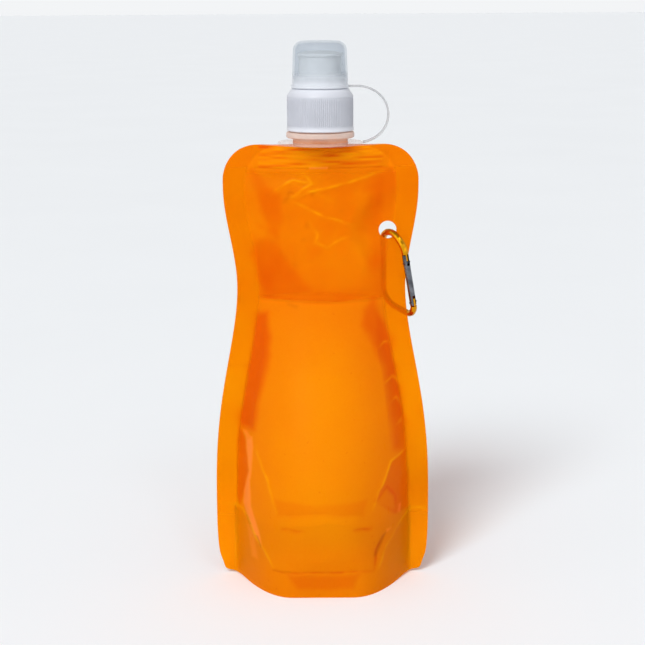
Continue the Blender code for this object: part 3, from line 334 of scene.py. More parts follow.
def waver(x, z):
    """Slow wave of both films together, strongest in the flat welded margins."""
    margin = ease((abs(x) - cavity(z) + 6) / 8) * ease((z - 6) / 20)
    clear = ease((np.hypot(x - HOLE_X, z - HOLE_Z) - 12) / 10)
    return clear * margin * 0.5 * noise(x * 0.3, z, 24, 77) * ease((FILM_TOP - z) / 20 + 0.1)


def film_height(x, z):
    """Where a point of the film at (x, z) of its cut sheet stands."""
    lift = 1.0 * ease((abs(x) - 33) / 9) + 0.35 * ease((abs(x) - 43.8) / 0.5)
    lift = lift + 0.16 * np.maximum(abs(x) - 43.8, 0)
    run = np.clip((abs(x) - (BASE - 2.4)) / 2.4, 0, 1)
    lift = lift + 2.0 * (1 - np.sqrt(1 - run ** 2 * 0.995))
    crown = 0.55 * ease((abs(x) - 14) / 18) * ease((z - 198) / 12)
    return z + lift * (1 - ease(z / 13)) + crown


def film_looks(x, z, side):
    """Brightness with painted shade and highlights, milkiness with painted sheen (clearer below 0), and
    painted olive shade of the film at a point.
    """
    seed = FRONT_SEED if side == FRONT else REAR_SEED
    inside = cavity(z) - abs(x)
    filled = ease((WATER_LINE + 0.6 * noise(x, z, 12, 4) - z) / 2.4)
    belly = ease(inside / 2.4)
    upper = 0.45 + 0.12 * noise(x, z, 19, 21) + 0.05 * noise(x, z, 6, 22)
    # Painted light: the filled belly lighter in its middle than at its sides.
    centre = bell(x / (0.62 * cavity(z))) * ease((z - 14) / 22) * ease((134 - z) / 34)
    lower = 0.46 + 0.20 * centre + 0.03 * noise(x, z, 14, 23)
    margin = 0.57 + 0.16 * ease((152 - z) / 60) + 0.03 * noise(x, z, 9, 24)
    bright = mix(margin, mix(upper, lower, filled), belly)
    seal = ease((z - BOAT_LOW) / 0.8)
    # Painted highlight and shade streaks across the ribbed top seal.
    seal_light_streaks = noise(x * 0.12, z, 0.95, 31) * ease((BOAT_HALF + 1 - abs(x)) / 1.5)
    bright = mix(bright, 0.52 + 0.42 * seal_light_streaks, seal)
    # Painted light: the film a little lighter near the base.
    painted_base_light = ease((26 - z) / 20)
    bright = bright + 0.05 * painted_base_light
    # Painted highlights along the narrow raised creases and painted shade along the sunken ones.
    for height, wide, points in (FRONT_CREASES if side == FRONT else REAR_CREASES):
        if wide < 1.4:
            shake = 0.5 * noise(x, z, 5, seed + 5)
            far, share = along_line(x + shake, z - shake, points)
            fade = np.sin(np.pi * np.clip(share, 0.04, 0.96)) ** 0.5
            fade = fade * (0.8 + 0.7 * noise(x, z, 3.1, 52))
            amount = (1.5 if height > 0 else 0.9) * height
            bright = bright + amount * fade * bell(far / (0.46 + 0.12 * wide))
    wander = 0.55 * noise(x, z, 5.5, 41)
    # Painted shade and highlight patches.
    for change, soft, outline in (FRONT_SHADE_AND_HIGHLIGHTS if side == FRONT else REAR_PAINTED_SHADE):
        bright = bright + 0.7 * change * in_patch(x + wander, z + wander, outline, soft)
    dry = 0.55 * (1 - filled) * ease((FILM_TOP - 8 - z) / 6)
    edge = 0.9 * (1 - belly) * (1 - 0.5 * seal) * mix(0.3, 1.0, ease((z - 15) / 40))
    milk_and_sheen = -np.maximum(np.maximum(dry, edge), 0.05)
    olive_shade = np.zeros(np.shape(x))
    if side == FRONT:
        # Painted sheen patches, pinkish and less clear.
        for amount, soft, outline in SHEEN_PATCHES:
            share = in_patch(x + 0.5 * wander, z, outline, soft)
            milk_and_sheen = mix(milk_and_sheen, amount, share)
        # Painted olive shade in the seals' folds.
        for amount, soft, outline in FOLD_SHADE_PATCHES:
            olive_shade = np.maximum(olive_shade, amount * in_patch(x + 0.3 * wander, z, outline, soft))
        # Painted shade along one side of each bubble's rim.
        for bx, bz, radius in BUBBLES:
            far = np.hypot(x - bx, z - bz)
            ring = bell((far - radius) / max(0.30 * radius, 0.4))
            olive_shade = np.maximum(olive_shade, 0.55 * ring * ease(0.9 + (z - bz - x + bx) / radius))
    return np.clip(bright, 0, 1), milk_and_sheen, olive_shade


# ---------------------------------------------------------------- meshes

def linked(name, data):
    made = bpy.data.objects.new(name, data)
    bpy.context.scene.collection.objects.link(made)
    return made


def make(name, points, faces, skin, sharp=40):
    """An object from points in millimetres, with smooth faces and one material."""
    mesh = bpy.data.meshes.new(name)
    mesh.from_pydata((np.asarray(points, float) * MM).tolist(), [], faces)
    mesh.validate()
    made = linked(name, mesh)
    mesh.materials.append(skin)
    finish_mesh(mesh, sharp)
    return made


def finish_mesh(mesh, sharp):
    bm = bmesh.new()
    bm.from_mesh(mesh)
    bmesh.ops.remove_doubles(bm, verts=bm.verts, dist=1e-7)
    bmesh.ops.recalc_face_normals(bm, faces=bm.faces)
    bm.to_mesh(mesh)
    bm.free()
    smooth(mesh, sharp)


def smooth(mesh, sharp):
    mesh.shade_smooth()
    mesh.set_sharp_from_angle(angle=math.radians(sharp))


def grid_faces(rows, columns, start=0, flip=False):
    faces = []
    for row in range(rows - 1):
        base = start + row * columns
        for column in range(columns - 1):
            a, b = base + column, base + column + 1
            face = (a, b, b + columns, a + columns)
            faces.append(face[::-1] if flip else face)
    return faces


def closed_sheet(outer, inner):
    """Points and faces of a thin solid between two grids of points."""
    rows, columns = outer.shape[:2]
    count = rows * columns
    points = np.concatenate([outer.reshape(-1, 3), inner.reshape(-1, 3)])
    faces = grid_faces(rows, columns) + grid_faces(rows, columns, count, True)
    edge = list(range(columns))
    edge += [row * columns + columns - 1 for row in range(1, rows)]
    edge += [(rows - 1) * columns + column for column in range(columns - 2, -1, -1)]
    edge += [row * columns for row in range(rows - 2, 0, -1)]
    for index, a in enumerate(edge):
        b = edge[(index + 1) % len(edge)]
        faces.append((b, a, a + count, b + count))
    return points, faces


def tube_faces(rows, count):
    """Faces of a closed tube with rows of count points, and both its ends."""
    faces = []
    for row in range(rows - 1):
        base, above = row * count, (row + 1) * count
        for step in range(count):
            after = (step + 1) % count
            faces.append((base + step, base + after, above + after, above + step))
    faces.append(tuple(range(count))[::-1])
    faces.append(tuple(range((rows - 1) * count, rows * count)))
    return faces


def turned(name, outline, skin, steps=96, ripple=None, sharp=32):
    """A closed outline of (radius, z) turned round the spout's axis."""
    angles = np.arange(steps) * math.tau / steps
    outline = np.array(outline, float)
    radius = np.repeat(outline[:, 0][:, None], steps, 1)
    height = np.repeat(outline[:, 1][:, None], steps, 1)
    if ripple is not None:
        radius = radius + ripple(radius, height, angles[None, :])
    points = np.stack([radius * np.cos(angles), radius * np.sin(angles), height], 2).reshape(-1, 3)
    faces = []
    count = len(outline)
    for row in range(count):
        after = (row + 1) % count
        for step in range(steps):
            side = (step + 1) % steps
            faces.append((row * steps + step, row * steps + side,
                          after * steps + side, after * steps + step))
    return make(name, points, faces, skin, sharp)


def rounded(outline, radius, steps=3):
    """A closed outline with each of its corners rounded."""
    points = []
    count = len(outline)
    for index in range(count):
        place = np.array(outline[index], float)
        before = np.array(outline[index - 1], float) - place
        after = np.array(outline[(index + 1) % count], float) - place
        back, ahead = np.hypot(*before), np.hypot(*after)
        if min(back, ahead) < 1e-6:
            continue
        reach = min(radius, back * 0.45, ahead * 0.45)
        start, end = place + before / back * reach, place + after / ahead * reach
        for step in range(steps + 1):
            t = step / steps
            points.append(tuple(start * (1 - t) ** 2 + place * 2 * t * (1 - t) + end * t ** 2))
    return points


def applied(target, tool, operation):
    """Cuts or joins for good, and removes the tool."""
    change = target.modifiers.new("shape", "BOOLEAN")
    change.operation = operation
    change.solver = "EXACT"
    change.object = tool
    graph = bpy.context.evaluated_depsgraph_get()
    done = bpy.data.meshes.new_from_object(target.evaluated_get(graph))
    target.modifiers.remove(change)
    target.data = done
    bpy.data.objects.remove(tool, do_unlink=True)


def rod_between(name, start, end, radius, sides, skin):
    bm = bmesh.new()
    run = Vector(end) - Vector(start)
    turn = Vector((0, 0, 1)).rotation_difference(run).to_matrix().to_4x4()
    place = Matrix.Translation((Vector(start) + Vector(end)) / 2) @ turn
    bmesh.ops.create_cone(bm, cap_ends=True, segments=sides, radius1=radius, radius2=radius,
                          depth=run.length, matrix=place)
    mesh = bpy.data.meshes.new(name)
    bmesh.ops.scale(bm, vec=(MM, MM, MM), verts=bm.verts)
    bm.to_mesh(mesh)
    bm.free()
    made = linked(name, mesh)
    if skin is not None:
        mesh.materials.append(skin)
    finish_mesh(mesh, 40)
    return made


# ---------------------------------------------------------------- materials

def rgb(red, green, blue):
    """Display values of 0 to 255 as a linear colour."""
    values = []
    for value in (red, green, blue):
        share = value / 255
        values.append(share / 12.92 if share <= 0.04045 else ((share + 0.055) / 1.055) ** 2.4)
    return (*values, 1.0)


class Nodes:
    """A material's nodes, with short calls for the ones used here."""

    def __init__(self, name):
        self.material = bpy.data.materials.new(name)
        self.material.use_nodes = True
        self.tree = self.material.node_tree
        self.tree.nodes.clear()
        self.out = self.new("ShaderNodeOutputMaterial")
        self.place = self.new("ShaderNodeTexCoord").outputs["Object"]

    def new(self, kind, **settings):
        node = self.tree.nodes.new(kind)
        for key, value in settings.items():
            setattr(node, key, value)
        return node

    def link(self, source, target):
        self.tree.links.new(source, target)

    def put(self, node, key, value):
        if isinstance(value, bpy.types.NodeSocket):
            self.link(value, node.inputs[key])
        else:
            node.inputs[key].default_value = value

    def stretched(self, scale):
        node = self.new("ShaderNodeMapping")
        self.link(self.place, node.inputs["Vector"])
        node.inputs["Scale"].default_value = scale
        return node.outputs["Vector"]

    def noise(self, scale, detail=3.0, roughness=0.55, vector=None):
        node = self.new("ShaderNodeTexNoise")
        self.link(vector or self.place, node.inputs["Vector"])
        node.inputs["Scale"].default_value = scale
        node.inputs["Detail"].default_value = detail
        node.inputs["Roughness"].default_value = roughness
        return node.outputs["Fac"]

    def height(self):
        """Height over the floor at rest, in metres."""
        node = self.new("ShaderNodeSeparateXYZ")
        self.link(self.place, node.inputs[0])
        return node.outputs[2]

    def spread(self, value, low, high, to_low=0.0, to_high=1.0):
        node = self.new("ShaderNodeMapRange")
        self.link(value, node.inputs["Value"])
        keys = ("From Min", "From Max", "To Min", "To Max")
        for key, number in zip(keys, (low, high, to_low, to_high)):
            node.inputs[key].default_value = number
        return node.outputs["Result"]

    def colours(self, share, a, b):
        node = self.new("ShaderNodeMix", data_type="RGBA")
        self.put(node, 0, share)
        self.put(node, 6, a)
        self.put(node, 7, b)
        return node.outputs[2]

    def sum(self, a, b, operation="ADD"):
        node = self.new("ShaderNodeMath", operation=operation)
        self.put(node, 0, a)
        self.put(node, 1, b)
        return node.outputs[0]

    def bump(self, height, strength, distance):
        node = self.new("ShaderNodeBump")
        self.link(height, node.inputs["Height"])
        node.inputs["Strength"].default_value = strength
        node.inputs["Distance"].default_value = distance
        return node.outputs["Normal"]

    def principled(self, **settings):
        node = self.new("ShaderNodeBsdfPrincipled")
        for key, value in settings.items():
            self.put(node, key.replace("_", " "), value)
        return node.outputs[0]

    def glow(self, colour):
        """Light that comes through scattered."""
        node = self.new("ShaderNodeBsdfTranslucent")
        self.put(node, "Color", colour)
        return node.outputs[0]

    def see_through(self, tint):
        node = self.new("ShaderNodeBsdfTransparent")
        self.put(node, "Color", tint)
        return node.outputs[0]

    def mixed(self, share, a, b):
        node = self.new("ShaderNodeMixShader")
        self.put(node, 0, share)
        self.link(a, node.inputs[1])
        self.link(b, node.inputs[2])
        return node.outputs[0]

    def finish(self, shader):
        self.link(shader, self.out.inputs["Surface"])
        return self.material


def film_skin(name, tints, clearest=0.86, milkiest=0.20, lit=0.28):
    """Tinted film: part of the light passes, part glows through, the rest is reflected."""
    n = Nodes(name)
    looks = n.new("ShaderNodeVertexColor", layer_name="looks").outputs["Color"]
    split = n.new("ShaderNodeSeparateColor")
    n.link(looks, split.inputs[0])
    bright, milk_and_sheen, olive_shade = split.outputs
    tone = n.sum(bright, n.spread(n.noise(38), 0.3, 0.7, -0.03, 0.03))
    tone = n.sum(tone, n.spread(n.noise(900, 2.0), 0.35, 0.65, -0.02, 0.02))
    # The tone carries painted shade and highlights besides the film's own tone.
    body = n.colours(tone, rgb(234, 120, 1), rgb(255, 191, 2))
    # Painted sheen: pinkish where the sheen patches lie.
    body = n.colours(milk_and_sheen, body, rgb(246, 150, 72))
    # Painted shade: olive-dark.
    body = n.colours(olive_shade, body, rgb(160, 96, 6))
    specks = n.spread(n.noise(420, 1.0), 0.74, 0.78, 0.0, 0.22)
    body = n.colours(specks, body, rgb(214, 104, 4))
    scuff = n.noise(420, 3.0, 0.6, n.stretched((1.0, 1.0, 0.35)))
    wrinkle = n.sum(n.noise(120, 3.0, 0.6), n.sum(scuff, 0.12, "MULTIPLY"))
    shader = n.principled(Base_Color=body, Roughness=n.spread(scuff, 0.3, 0.7, 0.26, 0.38),
                          Normal=n.bump(wrinkle, 0.2, 0.0005), Specular_IOR_Level=0.07)
    solid = n.mixed(lit, shader, n.glow(body))
    share = n.spread(milk_and_sheen, -1.0, 1.0, clearest, milkiest)
    return n.finish(n.mixed(share, solid, n.see_through(n.colours(tone, *tints))))


def plastic(name, colour, shade, roughness, clear=0.0, tint=(1, 1, 1, 1), lit=0.0, bump=0.12,
            lit_bands=()):
    """Moulded plastic with slight cloudiness, and painted light: paler between pairs of heights in metres.
    """
    n = Nodes(name)
    body = n.colours(n.spread(n.noise(90, 4.0), 0.32, 0.68), colour, shade)
    # Painted light: paler bands.
    for start, full in lit_bands:
        body = n.colours(n.spread(n.height(), start, full), body, rgb(210, 212, 219))
    swirl = n.noise(260, 3.0, 0.6, n.stretched((1.0, 1.0, 3.0)))
    grain = n.sum(n.noise(2400, 2.0), n.sum(swirl, 0.6, "MULTIPLY"))
    rough = n.spread(swirl, 0.3, 0.7, roughness * 0.85, roughness * 1.15)
    shader = n.principled(Base_Color=body, Roughness=rough, Normal=n.bump(grain, bump, 0.0002),
                          Specular_IOR_Level=0.4)
    if lit:
        shader = n.mixed(lit, shader, n.glow(body))
    if clear:
        shader = n.mixed(clear, shader, n.see_through(tint))
    return n.finish(shader)


def cover_skin(name):
    """Clear moulding that turns whiter and denser towards its foot: painted light, as from the lit shoulder
    under it.
    """
    n = Nodes(name)
    # Painted light: the foot whiter and less clear.
    foot = n.spread(n.height(), 0.2462, 0.2400)
    haze = n.colours(n.spread(n.noise(140), 0.3, 0.7), rgb(198, 203, 209), rgb(188, 194, 201))
    body = n.colours(foot, haze, rgb(236, 238, 242))
    swirl = n.noise(260, 3.0, 0.6, n.stretched((1.0, 1.0, 3.0)))
    shader = n.principled(Base_Color=body, Roughness=n.spread(swirl, 0.3, 0.7, 0.14, 0.22),
                          Normal=n.bump(swirl, 0.12, 0.0002), Specular_IOR_Level=0.5)
    solid = n.mixed(0.3, shader, n.glow(body))
    share = n.spread(foot, 0.0, 1.0, 0.83, 0.30)
    return n.finish(n.mixed(share, solid, n.see_through(rgb(246, 248, 250))))


def frosted_skin(name):
    """Natural plastic with painted orange light from the film towards the weld."""
    n = Nodes(name)
    cloud = n.noise(160)
    rise = n.spread(n.height(), 0.2136, 0.2160)
    share = n.sum(rise, n.spread(cloud, 0.3, 0.7, -0.12, 0.12))
    # Painted light: orange near the weld, pale above.
    body = n.colours(share, rgb(252, 188, 140), rgb(240, 224, 214))
    shader = n.principled(Base_Color=body, Roughness=n.spread(cloud, 0.3, 0.7, 0.3, 0.42),
                          Normal=n.bump(n.noise(1800, 2.0), 0.1, 0.0002))
    solid = n.mixed(0.35, shader, n.glow(body))
    return n.finish(n.mixed(0.3, solid, n.see_through(rgb(252, 238, 228))))


def metal(name, colour, edge, roughness, stretch=(1.0, 1.0, 1.0)):
    """Anodised or plated metal with drawn grain and small scuffs."""
    n = Nodes(name)
    grain = n.noise(1500, 3.0, 0.6, n.stretched(stretch))
    scuff = n.noise(240, 4.0, 0.65)
    body = n.colours(n.spread(scuff, 0.35, 0.68), colour, edge)
    rough = n.spread(grain, 0.3, 0.7, roughness * 0.75, roughness * 1.3)
    normal = n.bump(n.sum(grain, scuff), 0.10, 0.0001)
    return n.finish(n.principled(Base_Color=body, Metallic=1.0, Roughness=rough, Normal=normal))


def floor_skin():
    n = Nodes("pale_floor")
    body = n.colours(n.noise(3.0, 4.0), rgb(238, 240, 242), rgb(242, 244, 246))
    normal = n.bump(n.noise(900, 2.0), 0.03, 0.0004)
    return n.finish(n.principled(Base_Color=body, Roughness=0.9, Normal=normal,
                                 Specular_IOR_Level=0.1))


ORANGE = film_skin("orange_film", (rgb(249, 190, 60), rgb(255, 235, 120)))
GUSSET = film_skin("gusset_film", (rgb(255, 238, 180), rgb(255, 244, 200)), 0.90, 0.24, 0.4)
FROSTED = frosted_skin("frosted_spout")
# Painted light on the cap: its shoulder and lower rim paler.
WHITE = plastic("white_cap", rgb(186, 188, 196), rgb(177, 179, 187), 0.36, lit=0.12,
                lit_bands=((0.2325, 0.2372), (0.2212, 0.2196)))
NOZZLE_SKIN = plastic("nozzle_plastic", rgb(236, 235, 232), rgb(226, 226, 224), 0.34, lit=0.1)
CLEAR = cover_skin("clear_plastic")
STRAP = plastic("strap_plastic", rgb(214, 216, 218), rgb(200, 204, 208), 0.22, 0.42,
                rgb(244, 240, 238), 0.3)
HALO = plastic("ring_plastic", rgb(240, 228, 222), rgb(230, 218, 212), 0.22, 0.82,
               rgb(253, 250, 248), 0.3)
FOAM = plastic("gasket_foam", rgb(236, 236, 232), rgb(222, 222, 216), 0.85, bump=0.8)
GOLD = metal("gold_anodised", rgb(232, 164, 22), rgb(204, 132, 10), 0.12, (1.0, 1.0, 0.1))
SILVER = metal("silver_metal", rgb(126, 128, 134), rgb(72, 73, 78), 0.16, (1.0, 1.0, 0.1))
STEEL = metal("pin_steel", rgb(120, 122, 130), rgb(84, 86, 94), 0.3)


# ---------------------------------------------------------------- pouch

def film_piece(name, side, low, high, rows, columns=181):
    """One film between two heights as a thin solid."""
    share = np.linspace(0, 1, rows)
    if high == FILM_TOP:
        share = np.sin(share * np.pi / 2) ** 1.08
    z = mix(low, high, share)[:, None] + np.zeros((1, columns))
    s = np.linspace(-1, 1, columns)[None, :]
    s = np.sign(s) * (1 - (1 - abs(s)) ** 1.06)
    x = s * half_width(z)
    depth = half_depth(x, z) + relief(x, z, side)
    depth = np.maximum(depth, 0.0) + LAYER_GAP
    shift = waver(x, z)
    tall = film_height(x, z)
    outer = np.stack([x, side * (depth + SKIN) + shift, tall], 2)
    inner = np.stack([x, side * depth + shift, tall], 2)
    points, faces = closed_sheet(outer, inner)
    made = make(name, points, faces, ORANGE, 60)
    if high == FILM_TOP:
        tool = rod_between("hole_tool", (HOLE_X, -12, HOLE_Z), (HOLE_X, 12, HOLE_Z),
                           HOLE_RADIUS, 64, None)
        applied(made, tool, "DIFFERENCE")
        smooth(made.data, 60)
    paint_film(made.data, lambda x, y, z: film_looks(x, z, side))
    return made


def paint_film(mesh, looks_at):
    """Stores how a film looks at each point, from its place alone."""
    flat = np.empty(len(mesh.vertices) * 3)
    mesh.vertices.foreach_get("co", flat)
    x, y, z = (flat.reshape(-1, 3) / MM).T
    values = np.stack([*looks_at(x, y, z), np.ones(len(x))], 1)
    looks = mesh.color_attributes.new("looks", "FLOAT_COLOR", "POINT")
    looks.data.foreach_set("color", values.ravel())


def gusset_looks(x, y, z):
    """Brightness, milkiness and painted olive shade (none) of the floor film, clearest at its ends."""
    bright = 0.75 + 0.15 * noise(x, y + z, 9, 61)
    return bright, mix(-0.55, -1.0, ease((abs(x) - 30) / 10)), np.zeros(len(x))


def gusset_piece():
    """Folded floor film between the two faces."""
    columns, skirt, floor = 97, 14, 33
    grid_outer, grid_inner = [], []
    for share in np.linspace(-0.836, 0.836, columns):
        x_ref = share * HIP
        run = np.clip((abs(x_ref) - HEM_HALF) / (RIM - HEM_HALF), 0, 1)
        weld = float(mix(HEM_Z, GUSSET_FOLD, run))
        fold = float(mix(GUSSET_SAG, GUSSET_FOLD, min(abs(x_ref) / RIM, 1) ** SAG_POWER))
        z = np.linspace(0.5 + 1.2 * float(ease((abs(x_ref) - 33) / 9)), weld, skirt)
        x = share * half_width(z)
        y = np.maximum(half_depth(x, z) - 0.55, 0.02)
        front = np.stack([x, waver(x, z) - y, z], 1)
        reach = y[-1]
        across = np.linspace(-1, 1, floor + 2)[1:-1]
        sag = mix(fold, weld, across ** 2)
        ripple = 0.25 * noise(np.full(floor, x[-1]), across * reach, 6, 91) * (1 - across ** 2)
        middle = np.stack([np.full(floor, x[-1]), across * reach + float(waver(x[-1], z[-1])),
                           np.maximum(sag + ripple, 1.5)], 1)
        back = np.stack([x, waver(x, z) + y, z], 1)[::-1]
        line = np.concatenate([front, middle, back])
        grid_outer.append(line)
    grid = np.array(grid_outer)
    along = np.gradient(grid, axis=0)
    over = np.gradient(grid, axis=1)
    normal = np.cross(along, over)
    normal /= np.maximum(np.linalg.norm(normal, axis=2, keepdims=True), 1e-9)
    points, faces = closed_sheet(grid + normal * 0.12, grid - normal * 0.12)
    made = make("gusset_floor", points, faces, GUSSET, 60)
    paint_film(made.data, gusset_looks)
    return made


def ride_pouch(piece, body, *nodes):
    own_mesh(piece)
    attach(piece, body)
    if nodes:
        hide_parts(*nodes)


for side, word in ((FRONT, "front"), (REAR, "rear")):
    low = film_piece(f"{word}_sheet_lower", side, 0.0, FOLD_Z, 161)
    ride_pouch(low, "pouch_lower", f"{word}_film_lower")
    high = film_piece(f"{word}_sheet_upper", side, FOLD_Z, FILM_TOP, 191)
    ride_pouch(high, "pouch_upper", f"{word}_film_upper")

gusset = gusset_piece()
ride_pouch(gusset, "gusset", "base_gusset")


# ---------------------------------------------------------------- spout

def weld_boat():
    """Ribbed lens that the films are welded round."""
    columns = 65
    rows = 41
    z = np.linspace(BOAT_LOW + 0.3, FILM_TOP + 0.35, rows)
    points = []
    for height in z:
        groove = 0.22 * abs(math.sin(math.pi * (height - BOAT_LOW) / BOAT_RIB)) ** 3
        ring = []
        for side in (FRONT, REAR):
            x = np.linspace(-BOAT_HALF, BOAT_HALF, columns) * (1 if side == FRONT else -1)
            lens = BOAT_DEPTH * (1 - (x / (BOAT_HALF + 1.5)) ** 2)
            y = side * np.maximum(lens - 0.25 + groove, 0.05)
            ring += [(a, b, height) for a, b in zip(x, y)]
        points += ring
    made = make("weld_boat", points, tube_faces(rows, 2 * columns), FROSTED, 35)
    tool = rod_between("boat_tool", (0, 0, BOAT_LOW - 4), (0, 0, FILM_TOP + 4), BOAT_BORE, 48, None)
    applied(made, tool, "DIFFERENCE")
    smooth(made.data, 35)
    return made


def neck():
    """Neck, collar and threaded finish."""
    outline = rounded([(NECK, FILM_TOP + 0.3), (NECK, COLLAR_Z),
                       (COLLAR - 0.5, COLLAR_Z), (COLLAR, COLLAR_Z + 0.5),
                       (COLLAR, FINISH_Z - 0.4), (COLLAR - 0.4, FINISH_Z), (FINISH, FINISH_Z),
                       (FINISH, NECK_TOP), (FINISH_BORE, NECK_TOP), (FINISH_BORE, COLLAR_Z + 0.3),
                       (3.4, COLLAR_Z - 0.6), (3.4, FILM_TOP + 0.3)], 0.22)
    return turned("neck", outline, FROSTED, 120)


def thread(name, root, direction, start, turns, skin):
    steps = int(turns * 60)
    points = []
    for step in range(steps + 1):
        angle = math.tau * turns * step / steps
        z = start + THREAD_PITCH * angle / math.tau
        fade = float(ease(min(step, steps - step) / 12))
        depth = direction * mix(0.1, THREAD_DEPTH, fade)
        for out, up in ((-0.2 * direction, -0.65), (0, -0.65), (depth * 0.8, -0.42), (depth, -0.25),
                        (depth, 0.25), (depth * 0.8, 0.42), (0, 0.65), (-0.2 * direction, 0.65)):
            points.append(((root + out) * math.cos(angle), (root + out) * math.sin(angle), z + up))
    return make(name, points, tube_faces(steps + 1, 8), skin, 50)


boat = weld_boat()
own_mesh(boat)
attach(boat, "pouch_upper")
spout = neck()
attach(spout, "pouch_upper")
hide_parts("spout")
ridge = thread("neck_thread", FINISH, 1, FINISH_Z + 7.0, 1.5, FROSTED)
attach(ridge, "pouch_upper")


# ---------------------------------------------------------------- closure

RIBS = 108


def rib_ripple(radius, height, angle):
    """Fine upright ribs on the closure's skirt."""
    on_skirt = ease((radius - SKIRT + 0.25) / 0.1)
    low = ease((height - SKIRT_Z - 2.3) / 0.5)
    high = ease((234.3 - height) / 0.5)
    return -0.24 * on_skirt * low * high * (0.5 + 0.5 * np.cos(RIBS * angle)) ** 0.8


def closure_shell():
    bore = CHIMNEY - CHIMNEY_WALL
    skirt = [(SKIRT - 0.3, SKIRT_Z), (SKIRT + 0.12, SKIRT_Z + 0.35), (SKIRT + 0.12, SKIRT_Z + 1.7),
             (SKIRT - 0.05, SKIRT_Z + 2.1)]
    skirt += [(SKIRT, SKIRT_Z + 2.4 + 0.35 * step) for step in range(3)]
    skirt += [(SKIRT, z) for z in np.linspace(SKIRT_Z + 4.2, 233.4, 6)]
    skirt += [(SKIRT, 233.9), (SKIRT, 234.35)]
    shoulder = [(SKIRT - 0.15, 234.9), (SKIRT - 0.55, 235.6), (SKIRT - 1.2, 236.5),
                (SHOULDER_RADIUS + 0.5, 237.5), (SHOULDER_RADIUS, 237.85), (SHOULDER_RADIUS - 0.4, DECK_TOP)]
    boss = rounded([(BOSS, DECK_TOP), (BOSS, BOSS_TOP), (CHIMNEY, BOSS_TOP), (CHIMNEY, CHIMNEY_TOP),
                    (bore, CHIMNEY_TOP), (bore, DECK_Z),
                    (CAP_BORE, DECK_Z), (CAP_BORE, SKIRT_Z)], 0.25)
    made = turned("closure_shell", skirt + shoulder + boss[2:], WHITE, RIBS * 6, rib_ripple, 38)
    return made


def post():
    outline = rounded([(0.001, DECK_Z), (2.3, DECK_Z), (2.0, DECK_Z + 4), (2.0, NOZZLE_TOP - 0.9),
                       (1.4, NOZZLE_TOP - 0.3), (0.001, NOZZLE_TOP - 0.3)], 0.2)
    made = turned("valve_post", outline, WHITE, 40)
    for spoke in range(3):
        angle = math.tau * spoke / 3
        way = Vector((math.cos(angle), math.sin(angle), 0))
        start = way * 1.0 + Vector((0, 0, DECK_Z + 0.72))
        end = way * (CHIMNEY - 0.5) + Vector((0, 0, DECK_Z + 0.72))
        applied(made, rod_between("spoke_tool", start, end, 0.7, 16, None), "UNION")
    smooth(made.data, 38)
    return made


shell = closure_shell()
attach(shell, "cap")
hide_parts("closure")
for piece in (post(), thread("cap_thread", CAP_BORE, -1, FINISH_Z + 2.2, 1.25, WHITE)):
    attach(piece, "cap")

nozzle_line = [(NOZZLE_FOOT, NOZZLE_Z), (NOZZLE_FOOT, NOZZLE_Z + 1.7), (NOZZLE, NOZZLE_Z + 2.0),
               (NOZZLE, NOZZLE_RIM - 1.4), (NOZZLE_LIP, NOZZLE_RIM - 1.1), (NOZZLE_LIP, NOZZLE_RIM)]
dome = [(NOZZLE_LIP - 0.6 - t * (NOZZLE_LIP - 0.6 - 2.3),
         NOZZLE_RIM + 1.3 * math.sin(math.pi / 2 * min(t * 1.25 + 0.12, 1)))
        for t in np.linspace(0, 1, 9)]
inner = [(2.3, NOZZLE_RIM - 1.4), (CHIMNEY + 0.3, NOZZLE_RIM - 1.4), (CHIMNEY + 0.3, NOZZLE_Z)]
nozzle = turned("pull_nozzle_skin", rounded(nozzle_line + dome + inner, 0.25, 2), NOZZLE_SKIN, 96)
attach(nozzle, "nozzle")
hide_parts("pull_nozzle")


# ---------------------------------------------------------------- dust cover, ring and strap

def arc_corner(radius, z, corner, steps=8):
    points = []
    for step in range(steps + 1):
        angle = math.pi / 2 * step / steps
        points.append((radius - corner + corner * math.cos(angle),
                       z - corner + corner * math.sin(angle)))
    return points


def cover_piece():
    bead = COVER_Z + STRAP_THICK + 0.3
    outline = rounded([(COVER_FOOT - 1.0, COVER_Z), (COVER_FOOT + 0.35, COVER_Z),
                       (COVER_FOOT + 0.35, bead - 0.2), (COVER_FOOT, bead)], 0.2)[2:]
    outline += arc_corner(COVER_TOP, COVER_TOP_Z, 4.4)
    outline += [(4.0, COVER_TOP_Z + 0.22), (0.001, COVER_TOP_Z + 0.3), (0.001, COVER_TOP_Z - 0.72)]
    outline += [(4.0, COVER_TOP_Z - 0.8)]
    outline += arc_corner(COVER_TOP - 1.0, COVER_TOP_Z - 1.0, 3.4)[::-1]
    return turned("dust_cover_skin", outline, CLEAR, 120)


def strap_line(low, high, steps):
    """Points of the strap's half ellipse, from the ring upwards."""
    low_z = RING_Z + RING_HIGH / 2
    high_z = COVER_Z + STRAP_THICK / 2 + 0.15
    centre = COVER_FOOT + 4.0
    reach = STRAP_REACH - centre
    rise = (high_z - low_z) / 2
    foot = -math.acos((RING_OUTER + 0.1 - centre) / reach)
    points = []
    for share in np.linspace(low, high, steps):
        angle = mix(foot, math.pi / 2, share)
        points.append((centre + reach * math.cos(angle),
                       max(low_z + rise + rise * math.sin(angle), low_z)))
    return points, foot / (foot - math.pi / 2)


